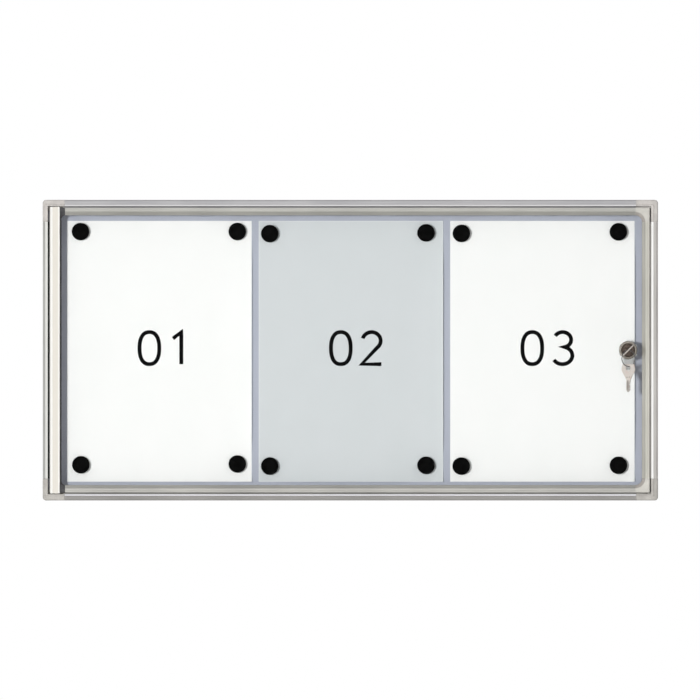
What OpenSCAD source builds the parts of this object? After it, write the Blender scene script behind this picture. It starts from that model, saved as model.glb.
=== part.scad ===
// Wall notice case for three sheets side by side. Four extruded profiles and four
// moulded corner caps hold a steel back panel. A glazed door hangs on the left side,
// a cam lock goes through its pane, and two keys hang on a wire ring.
// X runs along the width, Z points up and the case faces -Y. The origin is the centre
// of the four wall fixings, on the wall plane.

/* [Sheets] */
// Width of a sheet, from which the width of the case follows
sheet_w = 210; // [150:1:300]
// Height of a sheet, from which the height of the case follows
sheet_h = 297; // [200:1:420]
// Thickness of a sheet
sheet_t = 0.3; // [0.2:0.05:0.5]
// Gap between two sheets
sheet_gap = 8; // [2:0.5:30]
// Gap between the outer sheets and the sides of the door's opening
sheet_side_gap = 8.15; // [2:0.05:60]
// Gap between the sheets and the top and bottom of the door's opening, on average
sheet_end_gap = 4.9; // [4:0.1:60]
// How far the sheets sit below the middle of the case
sheet_drop = 1.3; // [0:0.1:3]

/* [Magnets] */
// Radius of a round magnet
magnet_r = 10; // [7:0.5:14]
// Thickness of a round magnet
magnet_t = 6; // [4:0.25:6]

/* [Case frame] */
// Depth from the wall to the front of the frame
case_d = 30; // [30:0.5:40]
// Visible width of the frame profile on the hinge side
hinge_side_face = 6; // [5.5:0.5:8]
// Visible width of the frame profile on the lock side
lock_side_face = 8; // [7:0.5:10]
// Visible width of the top and bottom frame profiles
rail_face = 7.2; // [6.4:0.2:9]
// Wall thickness of the frame profiles
frame_wall = 1.2; // [1:0.1:1.3]
// Radius of the rounded front edge of the frame
edge_r = 2.5; // [1.5:0.1:3]
// Radius of the outer corners, seen from the front
corner_r = 4; // [3:0.5:5]
// Length of each arm of a corner cap, from the outer corner
cap_arm = 25; // [22:1:32]
// Length of the tongues that plug a corner cap into its two profiles
cap_tongue = 16; // [8:1:24]

/* [Back panel and wall fixing] */
// Thickness of the steel back panel
panel_t = 1; // [0.8:0.1:1.5]
// Distance from the wall to the rear of the back panel
panel_rear = 4; // [3.6:0.1:5]
// Depth of the groove that holds the edge of the back panel
groove_deep = 3; // [2:0.25:3.5]
// Distance of the wall fixings from the left and right ends of the case
fixing_inset_x = 50; // [40:1:120]
// Distance of the wall fixings from the top and bottom of the case
fixing_inset_z = 46; // [40:1:90]
// Radius of the screw hole through each wall spacer
fixing_r = 2.6; // [2:0.1:3]
// Radius of the foot of each wall spacer
spacer_r = 7; // [5.5:0.5:9]

/* [Door] */
// Thickness of the door, front to back
door_t = 11; // [11:0.5:13]
// How far the door's face lies behind the front of the frame
door_set = 0.5; // [0:0.1:1]
// Gap between the frame and the hinge stile
hinge_gap = 2; // [2:0.1:3]
// Gap between the frame and the lock stile
lock_gap = 1.6; // [1:0.1:2.5]
// Gap between the frame and the door rails
rail_gap = 1.8; // [1.2:0.1:2.5]
// Gap between the frame and each end of the hinge stile
stile_end_gap = 0.8; // [0.8:0.1:1.5]
// Width of the hinge stile
stile_w = 11.5; // [11:0.5:15]
// Width of the flat face of the rails and of the lock stile
rail_flat = 4.6; // [4.2:0.1:6]
// Width of the bevel inside that flat face
rail_bevel = 4; // [3:0.25:5]
// Drop of the bevel from the door's face to its inner edge
bevel_drop = 3.2; // [2.4:0.1:3.2]
// Wall thickness of the door profiles
door_wall = 1.1; // [0.9:0.1:1.2]
// Radius of the bevel's inner edge in the two corner pieces on the lock side
corner_in_r = 7.4; // [6:0.2:12]
// Width of the two joint blocks between the hinge stile and the rails
joint_w = 6; // [5:0.5:8]
// Radius of the hinge stile's rounded edge, which the hinge axis is the centre of
hinge_round = 3.2; // [3.1:0.1:3.6]
// Radius of the hinge pins
pin_r = 1.5; // [1.2:0.1:1.6]

/* [Glazing] */
// Thickness of the pane
pane_t = 3; // [2.5:0.25:4]
// Thickness of the gasket on each side of the pane's edge
gasket_t = 0.5; // [0.4:0.05:0.6]
// Depth of the groove that the pane's edge sits in
slot_deep = 4.6; // [4:0.1:5]
// Width of the gasket's bead that shows beside the hinge stile
bead_w = 1.9; // [0.5:0.1:3]

/* [Door stop and seal] */
// How far the door stop reaches in from the frame
stop_w = 5; // [4.8:0.1:7]
// Thickness of the door stop
stop_t = 1; // [0.8:0.1:1.5]
// Thickness of the rubber seal on the door stop
seal_t = 1.3; // [1:0.1:1.4]
// Width of that seal
seal_w = 2.4; // [1.6:0.1:2.8]

/* [Lock] */
// Distance of the lock's axis from the inner edge of the lock stile
lock_inset = 15.8; // [14:0.1:20]
// Radius of the lock's rim
rim_r = 10.4; // [9.4:0.1:11]
// Height of the rim in front of the pane
rim_h = 5; // [4:0.25:6]
// Radius of the lock's barrel
barrel_r = 8.4; // [8:0.1:8.6]
// Radius of the rotor's face
rotor_face_r = 7.4; // [7:0.1:7.4]
// Radius of the rotor's body
rotor_r = 6.4; // [6:0.1:6.5]
// Reach of the cam from the lock's axis to its tip
cam_reach = 22.2; // [20.5:0.1:22.6]
// Width of the cam
cam_w = 11; // [9:0.5:12]
// Thickness of the cam
cam_t = 2; // [1.5:0.1:2.2]
// Thickness of the keeper plate that the cam turns behind
keeper_t = 1.6; // [1.2:0.1:2]
// Length of the keeper plate
keeper_len = 28; // [24:1:40]

/* [Keys and ring] */
// Thickness of a key
key_t = 1.3; // [1.1:0.1:1.4]
// Length of a key's bow
bow_len = 18.6; // [18:0.2:20]
// Width of a key's bow
bow_w = 16.2; // [14:0.2:16.6]
// Length of a key's blade
blade_len = 13.4; // [11:0.2:13.6]
// Width of a key's blade
blade_w = 4.8; // [4.2:0.1:5.2]
// Radius of the hole in a key's bow
key_hole_r = 2.7; // [2.6:0.05:2.9]
// Radius of the ring, to the middle of its wire
ring_r = 9.3; // [9.2:0.1:11]
// Radius of the ring's wire
wire_r = 0.5; // [0.4:0.05:0.5]

/* [Hidden] */
$fn = 64;

// Overrun of every cut past the face that it opens
over = 1;
// Clearance between a plugged part and its socket
plug_fit = 0.1;
// Clearance of a pin, bolt or thread that is fixed in its hole
fixed_fit = 0.02;
// Clearance between a turning part and its bore
running_fit = 0.05;
// Edge rounding of small moulded and turned parts
small_r = 0.8;

// Depths from the wall, back to front
groove_rear = panel_rear - plug_fit;
groove_front = panel_rear + panel_t + plug_fit;
panel_front = panel_rear + panel_t;
chamber_rear = groove_front + frame_wall;
door_front = case_d - door_set;
door_rear = door_front - door_t;
seal_gap = 0.2;
stop_front = door_rear - seal_gap - seal_t;
stop_rear = stop_front - stop_t;
keeper_front = stop_rear;
keeper_rear = keeper_front - keeper_t;
cam_gap = 0.6;
cam_front = keeper_rear - cam_gap;
cam_rear = cam_front - cam_t;

// Overall width and height of the case: the sheets, the gaps round them, the door and the frame
sheet_pitch = sheet_w + sheet_gap;
rail_w = rail_flat + rail_bevel;
hinge_side_w = hinge_side_face + hinge_gap + stile_w;
lock_side_w = lock_side_face + lock_gap + rail_w;
case_w = hinge_side_w + 2 * sheet_side_gap + 2 * sheet_pitch + sheet_w + lock_side_w;
case_h = sheet_h + 2 * (sheet_end_gap + rail_w + rail_gap + rail_face);

// Door profile, as depths from the wall and widths from its outer edge
rail_body = rail_w - slot_deep;
bead_t = 0.8;
bevel_low = door_front - bevel_drop;
slot_front = bevel_low - bead_t;
slot_rear = slot_front - pane_t - 2 * gasket_t;
lip_t = 1.2;
lip_rear = slot_rear - lip_t;
pane_front = slot_front - gasket_t;
pane_rear = slot_rear + gasket_t;

// Wall fixings, from the middle of the case, and the wall of a spacer's neck in the panel
fixing_x = case_w / 2 - fixing_inset_x;
fixing_z = case_h / 2 - fixing_inset_z;
spacer_wall = 1;
spacer_neck_r = fixing_r + spacer_wall;

// Wall left round the pockets in the back of a corner cap
cap_wall = 1.4;

// Edges of the case's inner opening and of the door
frame_left = -case_w / 2 + hinge_side_face;
frame_right = case_w / 2 - lock_side_face;
frame_top = case_h / 2 - rail_face;
door_left = frame_left + hinge_gap;
door_right = frame_right - lock_gap;
door_top = frame_top - rail_gap;
stile_right = door_left + stile_w;
stile_end = frame_top - stile_end_gap;
corner_size = rail_w + corner_in_r;
rail_left = stile_right + joint_w;
rail_right = door_right - corner_size;
lock_stile_end = door_top - corner_size;
pane_left = stile_right - slot_deep + gasket_t;
pane_right = door_right - rail_body - gasket_t;
pane_top = door_top - rail_body - gasket_t;
pane_corner_r = corner_size - rail_body - gasket_t;
pane_small_r = 1;
bead_corner_r = 4.5;
door_tongue = 12;

// Hinge: its axis, and how far a pin reaches into the cap and into the bush
hinge_x = door_left + hinge_round;
hinge_v = door_front - hinge_round;
pin_seat = 5;
pin_reach = 9;
bush_len = 12;
bush_floor = 1;
bush_end_gap = 0.3;
bush_flange_t = stile_end_gap - bush_end_gap;

// Lock: its axis, barrel, nut and washers
lock_x = door_right - rail_w - lock_inset;
washer_t = 0.5;
rim_front = pane_front + washer_t + rim_h;
barrel_gap = 0.5;
barrel_rear = cam_front + barrel_gap;
face_set = 0.6;
face_t = 2.4;
rotor_face_v = rim_front - face_set;
rotor_step_v = rotor_face_v - face_t;
nut_t = 3;
nut_r = 11.6;
washer_r = 10;
pane_hole_gap = 0.3;
pane_hole_r = barrel_r + pane_hole_gap;
stub_w = 7;
rim_chamfer = 0.6;
face_bevel = 0.4;
barrel_flat = 0.7;
nut_chamfer = 0.9;
cam_hub_r = 8;
keeper_reach = 7;
keeper_flange = 6.5;
keeper_screw_z = 9.5;
keeper_screw_r = 1.1;
keeper_screw_head_r = 2;
keeper_screw_head_t = 1.1;
keeper_screw_len = 3.5;
keeper_screw_inset = 2.4;
keeper_screw_v = keeper_front - keeper_flange + keeper_screw_inset;
cam_bolt_r = 1.6;
cam_bolt_seat = 3.2;
cam_bolt_head_r = 3.4;
cam_bolt_head_t = 1.8;

// Keys: outline of the bow and the turn of each key and of the ring
key_gap = 0.3;
key_shoulder_v = rim_front + key_gap;
key_hole_from_end = 4.8;
key_hole_t = bow_len - key_hole_from_end;
keyway_fit = 0.12;
keyway_end_gap = 0.6;
keyway_deep = blade_len + keyway_end_gap;
bow_corner_r = 1.4;
bow_side_r = 4.2;
bow_neck_r = 2.7;
bow_corner_share = 0.9;
bow_side_share = 0.66;
blade_tip = 2.6;
groove_w = 1.1;
groove_t = 0.35;
key_tilt = 45;
ring_turn = 36;
spare_turn = -16;
hang_gap = 0.35;
spare_hole_z = -2 * ring_r - (key_hole_r - wire_r - hang_gap);
hole_v = key_shoulder_v + key_hole_t;

// Seals: place of the stop's strip from the frame, and size of the hinge side strip
seal_inset = 0.4;
seal_offset = rail_gap + seal_inset;
side_seal_t = 0.8;
side_seal_bulb_r = 0.7;

// Screws of the keeper
screw_slot = 0.6;

// Magnet cap: rounding of its rim, depth of its dished face and radius of the dish
magnet_round = 1;
magnet_dish = 0.4;
dish_flat_r = magnet_r - 2 * magnet_round;
dish_r = (dish_flat_r * dish_flat_r + magnet_dish * magnet_dish) / (2 * magnet_dish);

// Cuts in the key's edge: place along the blade and depth, as shares of its size
cut_place_shares = [0.2, 0.36, 0.52, 0.68];
cut_depth_shares = [0.2, 0.32, 0.16, 0.26];

// Middle of the sheets, and magnet places across and up each sheet from its middle, as shares of it
sheets_mid = (stile_right + door_right - rail_w) / 2;
magnet_place_shares = [
  [[-0.428, 0.459], [0.422, 0.459], [-0.426, -0.435], [0.422, -0.432]],
  [[-0.440, 0.451], [0.407, 0.454], [-0.440, -0.440], [0.407, -0.437]],
  [[-0.439, 0.452], [0.412, 0.458], [-0.440, -0.440], [0.412, -0.437]]
];

// Stands a part up that is drawn in the plane of the door: X across, Y up, Z forward
module upright() {
  rotate([90, 0, 0]) children();
}

// Box between two corners, the depth counted from the wall
module slab(x0, x1, y0, y1, v0, v1) {
  translate([x0, y0, v0]) cube([x1 - x0, y1 - y0, v1 - v0]);
}

// Runs a profile section up and down, its X inward and its Y forward
module run_up(length) {
  translate([0, length / 2, 0]) rotate([90, 0, 0]) linear_extrude(length) children();
}

// Runs a profile section across, its X upward and its Y forward
module run_across(length) {
  rotate([0, 0, 90]) run_up(length) children();
}

// Places the drawing of a bottom left corner in one of the four corners
module in_corner(right, top, x, y) {
  mirror([right ? 1 : 0, 0, 0]) mirror([0, top ? 1 : 0, 0]) translate([-x, -y, 0]) children();
}

// Outline of a frame profile: X from its outer face inward, Y from the wall forward
module frame_outline(face) {
  square([face, case_d - edge_r]);
  translate([edge_r, 0]) square([face - edge_r, case_d]);
  translate([edge_r, case_d - edge_r]) circle(edge_r);
}

// The hollow of a frame profile, or with a clearance the tongue that plugs it
module chamber_outline(face, clearance) {
  lo = frame_wall + clearance;
  hi = face - frame_wall - clearance;
  v0 = chamber_rear + clearance;
  v1 = case_d - frame_wall - clearance;
  r = edge_r - frame_wall;
  translate([lo, v0]) square([hi - lo, v1 - r - v0]);
  translate([lo + r, v0]) square([hi - lo - r, v1 - v0]);
  translate([lo + r, v1 - r]) circle(r);
}

// The door stop on the inner wall of a frame profile
module stop_outline(face) {
  translate([face - frame_wall, stop_rear]) square([frame_wall + stop_w, stop_t]);
}

module frame_section(face, stop) {
  difference() {
    union() {
      frame_outline(face);
      if (stop) stop_outline(face);
    }
    translate([face - groove_deep, groove_rear]) square([groove_deep + over, groove_front - groove_rear]);
    translate([frame_wall, frame_wall]) square([face - 2 * frame_wall, groove_rear - 2 * frame_wall]);
    chamber_outline(face, 0);
  }
}

// Bores for the screws that fix the keeper, through the inner wall of the profile
module keeper_bores(r, depth) {
  for (side = [-1, 1])
    translate([frame_right, side * keeper_screw_z, keeper_screw_v]) rotate([0, 90, 0])
      translate([0, 0, -keeper_t - over]) cylinder(r = r, h = keeper_t + over + depth);
}

module frame_profile_left() {
  color("silver") upright() translate([-case_w / 2, 0, 0])
    run_up(case_h - 2 * cap_arm) frame_section(hinge_side_face, false);
}

module frame_profile_right() {
  color("silver") upright() difference() {
    mirror([1, 0, 0]) translate([-case_w / 2, 0, 0])
      run_up(case_h - 2 * cap_arm) frame_section(lock_side_face, true);
    keeper_bores(keeper_screw_r + fixed_fit, frame_wall + over);
  }
}

module frame_profile_across(top) {
  upright() mirror([0, top ? 1 : 0, 0]) translate([0, -case_h / 2, 0])
    run_across(case_w - 2 * cap_arm) frame_section(rail_face, true);
}

module frame_profile_top() {
  color("silver") frame_profile_across(true);
}

module frame_profile_bottom() {
  color("silver") frame_profile_across(false);
}

// One arm of a corner cap: the solid profile, past the round corner
module cap_arm_section(face, stop) {
  frame_outline(face);
  if (stop) stop_outline(face);
}

// The round outer corner of a cap: the profile's outer part, turned about the corner's centre
module round_corner() {
  intersection() {
    cube([corner_r, corner_r, case_d]);
    translate([corner_r, corner_r, 0]) rotate_extrude() intersection() {
      translate([corner_r, 0]) mirror([1, 0]) frame_outline(corner_r);
      square([corner_r, case_d]);
    }
  }
}

// A corner cap drawn as the bottom left corner of the frame, its outer corner at zero
module corner_cap(side_face, side_stop) {
  run = cap_arm - corner_r;
  mid = (cap_arm + corner_r) / 2;
  tongue_mid = cap_arm + cap_tongue / 2;
  near = corner_r + cap_wall;
  far = cap_arm - cap_wall;
  pocket_front = groove_rear - frame_wall;
  difference() {
    union() {
      translate([0, mid, 0]) run_up(run) cap_arm_section(side_face, side_stop);
      translate([mid, 0, 0]) run_across(run) cap_arm_section(rail_face, true);
      round_corner();
      translate([0, tongue_mid, 0]) run_up(cap_tongue) chamber_outline(side_face, plug_fit);
      translate([tongue_mid, 0, 0]) run_across(cap_tongue) chamber_outline(rail_face, plug_fit);
    }
    slab(side_face - groove_deep, cap_arm + over, rail_face - groove_deep, cap_arm + over,
      groove_rear, groove_front);
    // pockets moulded into the back of both arms
    slab(cap_wall, side_face - cap_wall, near, far, -over, pocket_front);
    slab(near, far, cap_wall, rail_face - cap_wall, -over, pocket_front);
  }
}

// A hinge side cap also holds a hinge pin, in a blind bore in its rail arm
module hinge_cap(top) {
  color("gainsboro") upright() in_corner(false, top, case_w / 2, case_h / 2) difference() {
    corner_cap(hinge_side_face, false);
    translate([hinge_x + case_w / 2, rail_face + over, hinge_v]) rotate([90, 0, 0])
      cylinder(r = pin_r + fixed_fit, h = pin_seat + over);
  }
}

module lock_side_cap(top) {
  color("gainsboro") upright() in_corner(true, top, case_w / 2, case_h / 2)
    corner_cap(lock_side_face, true);
}

module corner_cap_top_left() {
  hinge_cap(true);
}

module corner_cap_bottom_left() {
  hinge_cap(false);
}

module corner_cap_top_right() {
  lock_side_cap(true);
}

module corner_cap_bottom_right() {
  lock_side_cap(false);
}

// The steel panel lies in the grooves of the four profiles and has four round holes
module back_panel() {
  deep = groove_deep - plug_fit;
  color("lightsteelblue") upright() difference() {
    slab(frame_left - deep, frame_right + deep, -frame_top - deep, frame_top + deep,
      panel_rear, panel_front);
    at_fixings() translate([0, 0, panel_rear - over])
      cylinder(r = spacer_neck_r + fixed_fit, h = panel_t + 2 * over);
  }
}

module at_fixings() {
  for (x = [-1, 1], z = [-1, 1])
    translate([x * fixing_x, z * fixing_z, 0]) children();
}

// Nylon spacers: a foot on the wall and a neck in the panel, with a through hole
module wall_spacers() {
  color("white") upright() at_fixings() difference() {
    union() {
      cylinder(r = spacer_r, h = panel_rear);
      cylinder(r = spacer_neck_r, h = panel_front);
    }
    translate([0, 0, -over]) cylinder(r = fixing_r, h = panel_front + 2 * over);
  }
}

// Rubber seal on the door stop, along the top, the bottom and the lock side
module door_seal() {
  side = frame_right - seal_offset;
  end = frame_top - seal_offset;
  color("dimgray") upright() {
    slab(side - seal_w, side, -end, end, stop_front, stop_front + seal_t);
    for (m = [0, 1]) mirror([0, m, 0])
      slab(stile_right + seal_w, side, end - seal_w, end, stop_front, stop_front + seal_t);
  }
}

// Rubber strip in the gap beside the hinge stile, with a round bulb at its middle
module hinge_side_seal() {
  half = case_h / 2 - cap_arm;
  depth = hinge_v - door_rear;
  color("black") upright() translate([frame_left, 0, 0]) run_up(2 * half) {
    translate([0, door_rear]) square([side_seal_t, depth]);
    intersection() {
      translate([0, door_rear]) square([hinge_gap, depth]);
      translate([side_seal_t, door_rear + depth / 2]) circle(side_seal_bulb_r);
    }
  }
}

// Steel pin with a chamfered tip, from the cap down or up into the hinge bush
module hinge_pin(top) {
  reach = stile_end_gap + pin_reach;
  color("gray") upright() mirror([0, top ? 1 : 0, 0])
    translate([hinge_x, -frame_top - pin_seat, hinge_v]) rotate([-90, 0, 0]) {
      cylinder(r = pin_r, h = pin_seat + reach - pin_r / 2);
      translate([0, 0, pin_seat + reach - pin_r / 2]) cylinder(r1 = pin_r, r2 = pin_r / 2, h = pin_r / 2);
    }
}

module hinge_pin_top() {
  hinge_pin(true);
}

module hinge_pin_bottom() {
  hinge_pin(false);
}

// Bent keeper plate: one flange on the frame's inner wall, one behind the door stop
module lock_keeper() {
  half = keeper_len / 2;
  color("silver") upright() difference() {
    union() {
      slab(frame_right - keeper_t, frame_right, -half, half, keeper_front - keeper_flange, keeper_front);
      slab(frame_right - keeper_reach, frame_right, -half, half, keeper_rear, keeper_front);
    }
    keeper_bores(keeper_screw_r + fixed_fit, over);
  }
}

module keeper_screws() {
  x = frame_right - keeper_t;
  color("gray") upright() for (side = [-1, 1])
    translate([x, side * keeper_screw_z, keeper_screw_v]) rotate([0, 90, 0]) {
      cylinder(r = keeper_screw_r, h = keeper_screw_len);
      difference() {
        translate([0, 0, -keeper_screw_head_t]) cylinder(r = keeper_screw_head_r, h = keeper_screw_head_t);
        for (turn = [0, 90]) rotate([0, 0, turn])
          translate([-screw_slot / 2, -keeper_screw_r, -keeper_screw_head_t - over])
            cube([screw_slot, 2 * keeper_screw_r, over + keeper_screw_head_t / 2]);
      }
    }
}

function sheet_x(n) = sheets_mid + n * sheet_pitch;

module sheet(n) {
  color("white") upright() translate([sheet_x(n), -sheet_drop, panel_front])
    translate([-sheet_w / 2, -sheet_h / 2, 0]) cube([sheet_w, sheet_h, sheet_t]);
}

module sheet_left() {
  sheet(-1);
}

module sheet_middle() {
  sheet(0);
}

module sheet_right() {
  sheet(1);
}

// One round magnet in its moulded cap, with a rounded rim and a shallow dished face
module magnet() {
  rotate_extrude() difference() {
    union() {
      square([magnet_r, magnet_t - magnet_round]);
      square([magnet_r - magnet_round, magnet_t]);
      translate([magnet_r - magnet_round, magnet_t - magnet_round]) circle(magnet_round);
    }
    translate([0, magnet_t + dish_r - magnet_dish]) circle(dish_r, $fn = 180);
  }
}

module magnets(n) {
  color("black") upright() for (place = magnet_place_shares[n + 1])
    translate([sheet_x(n) + place[0] * sheet_w, place[1] * sheet_h - sheet_drop, panel_front + sheet_t])
      magnet();
}

module magnets_left() {
  magnets(-1);
}

module magnets_middle() {
  magnets(0);
}

module magnets_right() {
  magnets(1);
}

// Outline of the hinge stile: X from its rounded edge inward, Y from the wall forward
module stile_outline(clearance, left, right, front, rear) {
  r = hinge_round - left;
  translate([left + clearance, rear + clearance])
    square([right - left - 2 * clearance, hinge_v - rear - clearance]);
  translate([hinge_round, rear + clearance])
    square([right - hinge_round - clearance, front - rear - 2 * clearance]);
  translate([hinge_round, hinge_v]) circle(r - clearance);
}

// Hollow of the hinge stile, or with a clearance the plug of a hinge bush
module stile_chamber(clearance) {
  right = stile_w - slot_deep - door_wall;
  stile_outline(clearance, door_wall, right, door_front - door_wall, door_rear + door_wall);
}

module stile_section() {
  difference() {
    stile_outline(0, 0, stile_w, door_front, door_rear);
    stile_chamber(0);
    translate([stile_w - slot_deep, slot_rear]) square([slot_deep + over, slot_front - slot_rear]);
    translate([stile_w - slot_deep, door_rear - over])
      square([slot_deep + over, lip_rear - door_rear + over]);
    // thin hollow in front of the groove
    translate([stile_w - slot_deep, slot_front + door_wall])
      square([slot_deep - door_wall, door_front - slot_front - 2 * door_wall]);
    // rounded front edge on the pane side
    translate([stile_w, door_front]) difference() {
      translate([-small_r, -small_r]) square(small_r + over);
      translate([-small_r, -small_r]) circle(small_r);
    }
  }
}

module hinge_stile() {
  color("ivory") upright() translate([door_left, 0, 0]) run_up(2 * stile_end) stile_section();
}

// Acetal bush: a plug in the end of the hinge stile with a flange over its end
module hinge_bush(top) {
  color("dimgray") upright() mirror([0, top ? 1 : 0, 0]) difference() {
    union() {
      translate([door_left, -stile_end + bush_len / 2, 0]) run_up(bush_len) stile_chamber(plug_fit);
      translate([door_left, -stile_end - bush_flange_t / 2, 0]) run_up(bush_flange_t)
        stile_outline(small_r / 2, 0, stile_w - slot_deep, door_front, door_rear);
    }
    translate([hinge_x, -stile_end - bush_flange_t - over, hinge_v]) rotate([-90, 0, 0])
      cylinder(r = pin_r + running_fit, h = over + bush_flange_t + bush_len - bush_floor);
  }
}

module hinge_bush_top() {
  hinge_bush(true);
}

module hinge_bush_bottom() {
  hinge_bush(false);
}

// Outline of a rail or of the lock stile: X from its outer edge inward, Y forward
module rail_outline() {
  polygon([
    [0, door_rear], [rail_body, door_rear], [rail_body, lip_rear], [rail_w, lip_rear],
    [rail_w, slot_rear], [rail_body, slot_rear], [rail_body, slot_front], [rail_w, slot_front],
    [rail_w, bevel_low], [rail_flat, door_front], [0, door_front]
  ]);
}

module rail_chamber(clearance) {
  translate([door_wall + clearance, door_rear + door_wall + clearance])
    square([rail_body - 2 * (door_wall + clearance), door_t - 2 * (door_wall + clearance)]);
}

module rail_section() {
  difference() {
    rail_outline();
    rail_chamber(0);
  }
}

module door_rail(top) {
  length = rail_right - rail_left;
  upright() mirror([0, top ? 1 : 0, 0]) translate([rail_left + length / 2, -door_top, 0])
    run_across(length) rail_section();
}

module door_rail_top() {
  color("silver") door_rail(true);
}

module door_rail_bottom() {
  color("silver") door_rail(false);
}

module lock_stile() {
  color("silver") upright() mirror([1, 0, 0]) translate([-door_right, 0, 0])
    run_up(2 * lock_stile_end) rail_section();
}

// What a corner piece leaves free inside, turned about the centre of its round corner
module corner_void() {
  body_r = corner_size - rail_body;
  flat_r = corner_size - rail_flat;
  rotate_extrude() polygon([
    [0, door_rear - over], [body_r, door_rear - over], [body_r, lip_rear], [corner_in_r, lip_rear],
    [corner_in_r, slot_rear], [body_r, slot_rear], [body_r, slot_front], [corner_in_r, slot_front],
    [corner_in_r, bevel_low], [flat_r, door_front], [flat_r, door_front + over], [0, door_front + over]
  ]);
}

// Corner piece of the door: square outside, round inside, with a tongue in each profile
module door_corner(top) {
  color("gainsboro") upright() in_corner(true, top, door_right, door_top) {
    difference() {
      slab(0, corner_size, 0, corner_size, door_rear, door_front);
      translate([corner_size, corner_size, 0]) corner_void();
    }
    translate([corner_size + door_tongue / 2, 0, 0]) run_across(door_tongue) rail_chamber(plug_fit);
    translate([0, corner_size + door_tongue / 2, 0]) run_up(door_tongue) rail_chamber(plug_fit);
  }
}

module door_corner_top() {
  door_corner(true);
}

module door_corner_bottom() {
  door_corner(false);
}

// Joint block: the rail's outline, with a tongue in the rail and a lug in the stile
module joint_block(top) {
  lug = slot_deep - plug_fit;
  color("dimgray") upright() mirror([0, top ? 1 : 0, 0]) translate([0, -door_top, 0]) {
    translate([stile_right + joint_w / 2, 0, 0]) run_across(joint_w) rail_outline();
    translate([rail_left + door_tongue / 2, 0, 0]) run_across(door_tongue) rail_chamber(plug_fit);
    slab(stile_right - lug, stile_right, 0, rail_body, slot_rear + plug_fit, slot_front - plug_fit);
  }
}

module joint_block_top() {
  joint_block(true);
}

module joint_block_bottom() {
  joint_block(false);
}

// Rectangle with one radius at its two left corners and another at its two right ones
module glazing_outline(x0, x1, top, left_r, right_r) {
  translate([x0 + left_r, -top]) square([x1 - x0 - left_r - right_r, 2 * top]);
  translate([x0, left_r - top]) square([left_r, 2 * (top - left_r)]);
  translate([x1 - right_r, right_r - top]) square([right_r, 2 * (top - right_r)]);
  for (z = [-1, 1]) {
    translate([x0 + left_r, z * (top - left_r)]) circle(left_r);
    translate([x1 - right_r, z * (top - right_r)]) circle(right_r);
  }
}

module pane() {
  color("lightcyan", 0.35) upright() difference() {
    translate([0, 0, pane_rear]) linear_extrude(pane_t)
      glazing_outline(pane_left, pane_right, pane_top, pane_small_r, pane_corner_r);
    translate([lock_x, 0, pane_rear - over]) cylinder(r = pane_hole_r, h = pane_t + 2 * over);
  }
}

// Gasket: a U-shaped rubber section round the pane's edge, with a bead at the stile
module pane_gasket() {
  color("black") upright() difference() {
    translate([0, 0, slot_rear]) linear_extrude(slot_front - slot_rear) glazing_outline(
      pane_left - gasket_t, pane_right + gasket_t, pane_top + gasket_t,
      pane_small_r + gasket_t, pane_corner_r + gasket_t);
    translate([0, 0, pane_rear]) linear_extrude(pane_t)
      glazing_outline(pane_left, pane_right, pane_top, pane_small_r, pane_corner_r);
    translate([0, 0, slot_rear - over]) linear_extrude(slot_front - slot_rear + 2 * over) glazing_outline(
      stile_right + bead_w, door_right - rail_w, door_top - rail_w, bead_corner_r, corner_in_r);
  }
}

// Puts a drawing on the lock's axis, its Z forward from the wall
module at_lock() {
  upright() translate([lock_x, 0, 0]) children();
}

// Turned housing: rim in front of the pane, barrel through it, stepped bore for the rotor
module lock_housing() {
  rim_rear = pane_front + washer_t;
  face_bore = rotor_face_r + running_fit;
  body_bore = rotor_r + running_fit;
  step = rotor_step_v - running_fit;
  color("silver") at_lock() difference() {
    rotate_extrude() {
      polygon([
        [body_bore, barrel_rear], [barrel_r, barrel_rear], [barrel_r, rim_rear], [rim_r, rim_rear],
        [rim_r, rim_front - small_r], [rim_r - small_r, rim_front], [face_bore + rim_chamfer, rim_front],
        [face_bore, rim_front - rim_chamfer], [face_bore, step], [body_bore, step]
      ]);
      translate([rim_r - small_r, rim_front - small_r]) circle(small_r);
    }
    // two flats on the barrel behind the nut
    for (m = [0, 1]) mirror([m, 0, 0])
      slab(barrel_r - barrel_flat, barrel_r + over, -barrel_r, barrel_r,
        barrel_rear - over, pane_rear - washer_t - nut_t);
  }
}

// Two soft washers, one under the rim and one under the nut
module lock_washers() {
  color("dimgray") at_lock() for (v = [pane_front, pane_rear - washer_t])
    translate([0, 0, v]) difference() {
      cylinder(r = washer_r, h = washer_t);
      translate([0, 0, -over]) cylinder(r = barrel_r + fixed_fit, h = washer_t + 2 * over);
    }
}

// Hexagonal nut, its corners chamfered by a cone
module lock_nut() {
  v0 = pane_rear - washer_t - nut_t;
  color("silver") at_lock() difference() {
    intersection() {
      translate([0, 0, v0]) linear_extrude(nut_t)
        polygon([for (k = [0:5]) nut_r * [cos(60 * k + 30), sin(60 * k + 30)]]);
      rotate_extrude() polygon([
        [0, v0], [nut_r * cos(30), v0], [nut_r, v0 + nut_chamfer], [nut_r, v0 + nut_t], [0, v0 + nut_t]
      ]);
    }
    translate([0, 0, v0 - over]) cylinder(r = barrel_r + fixed_fit, h = nut_t + 2 * over);
  }
}

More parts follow.
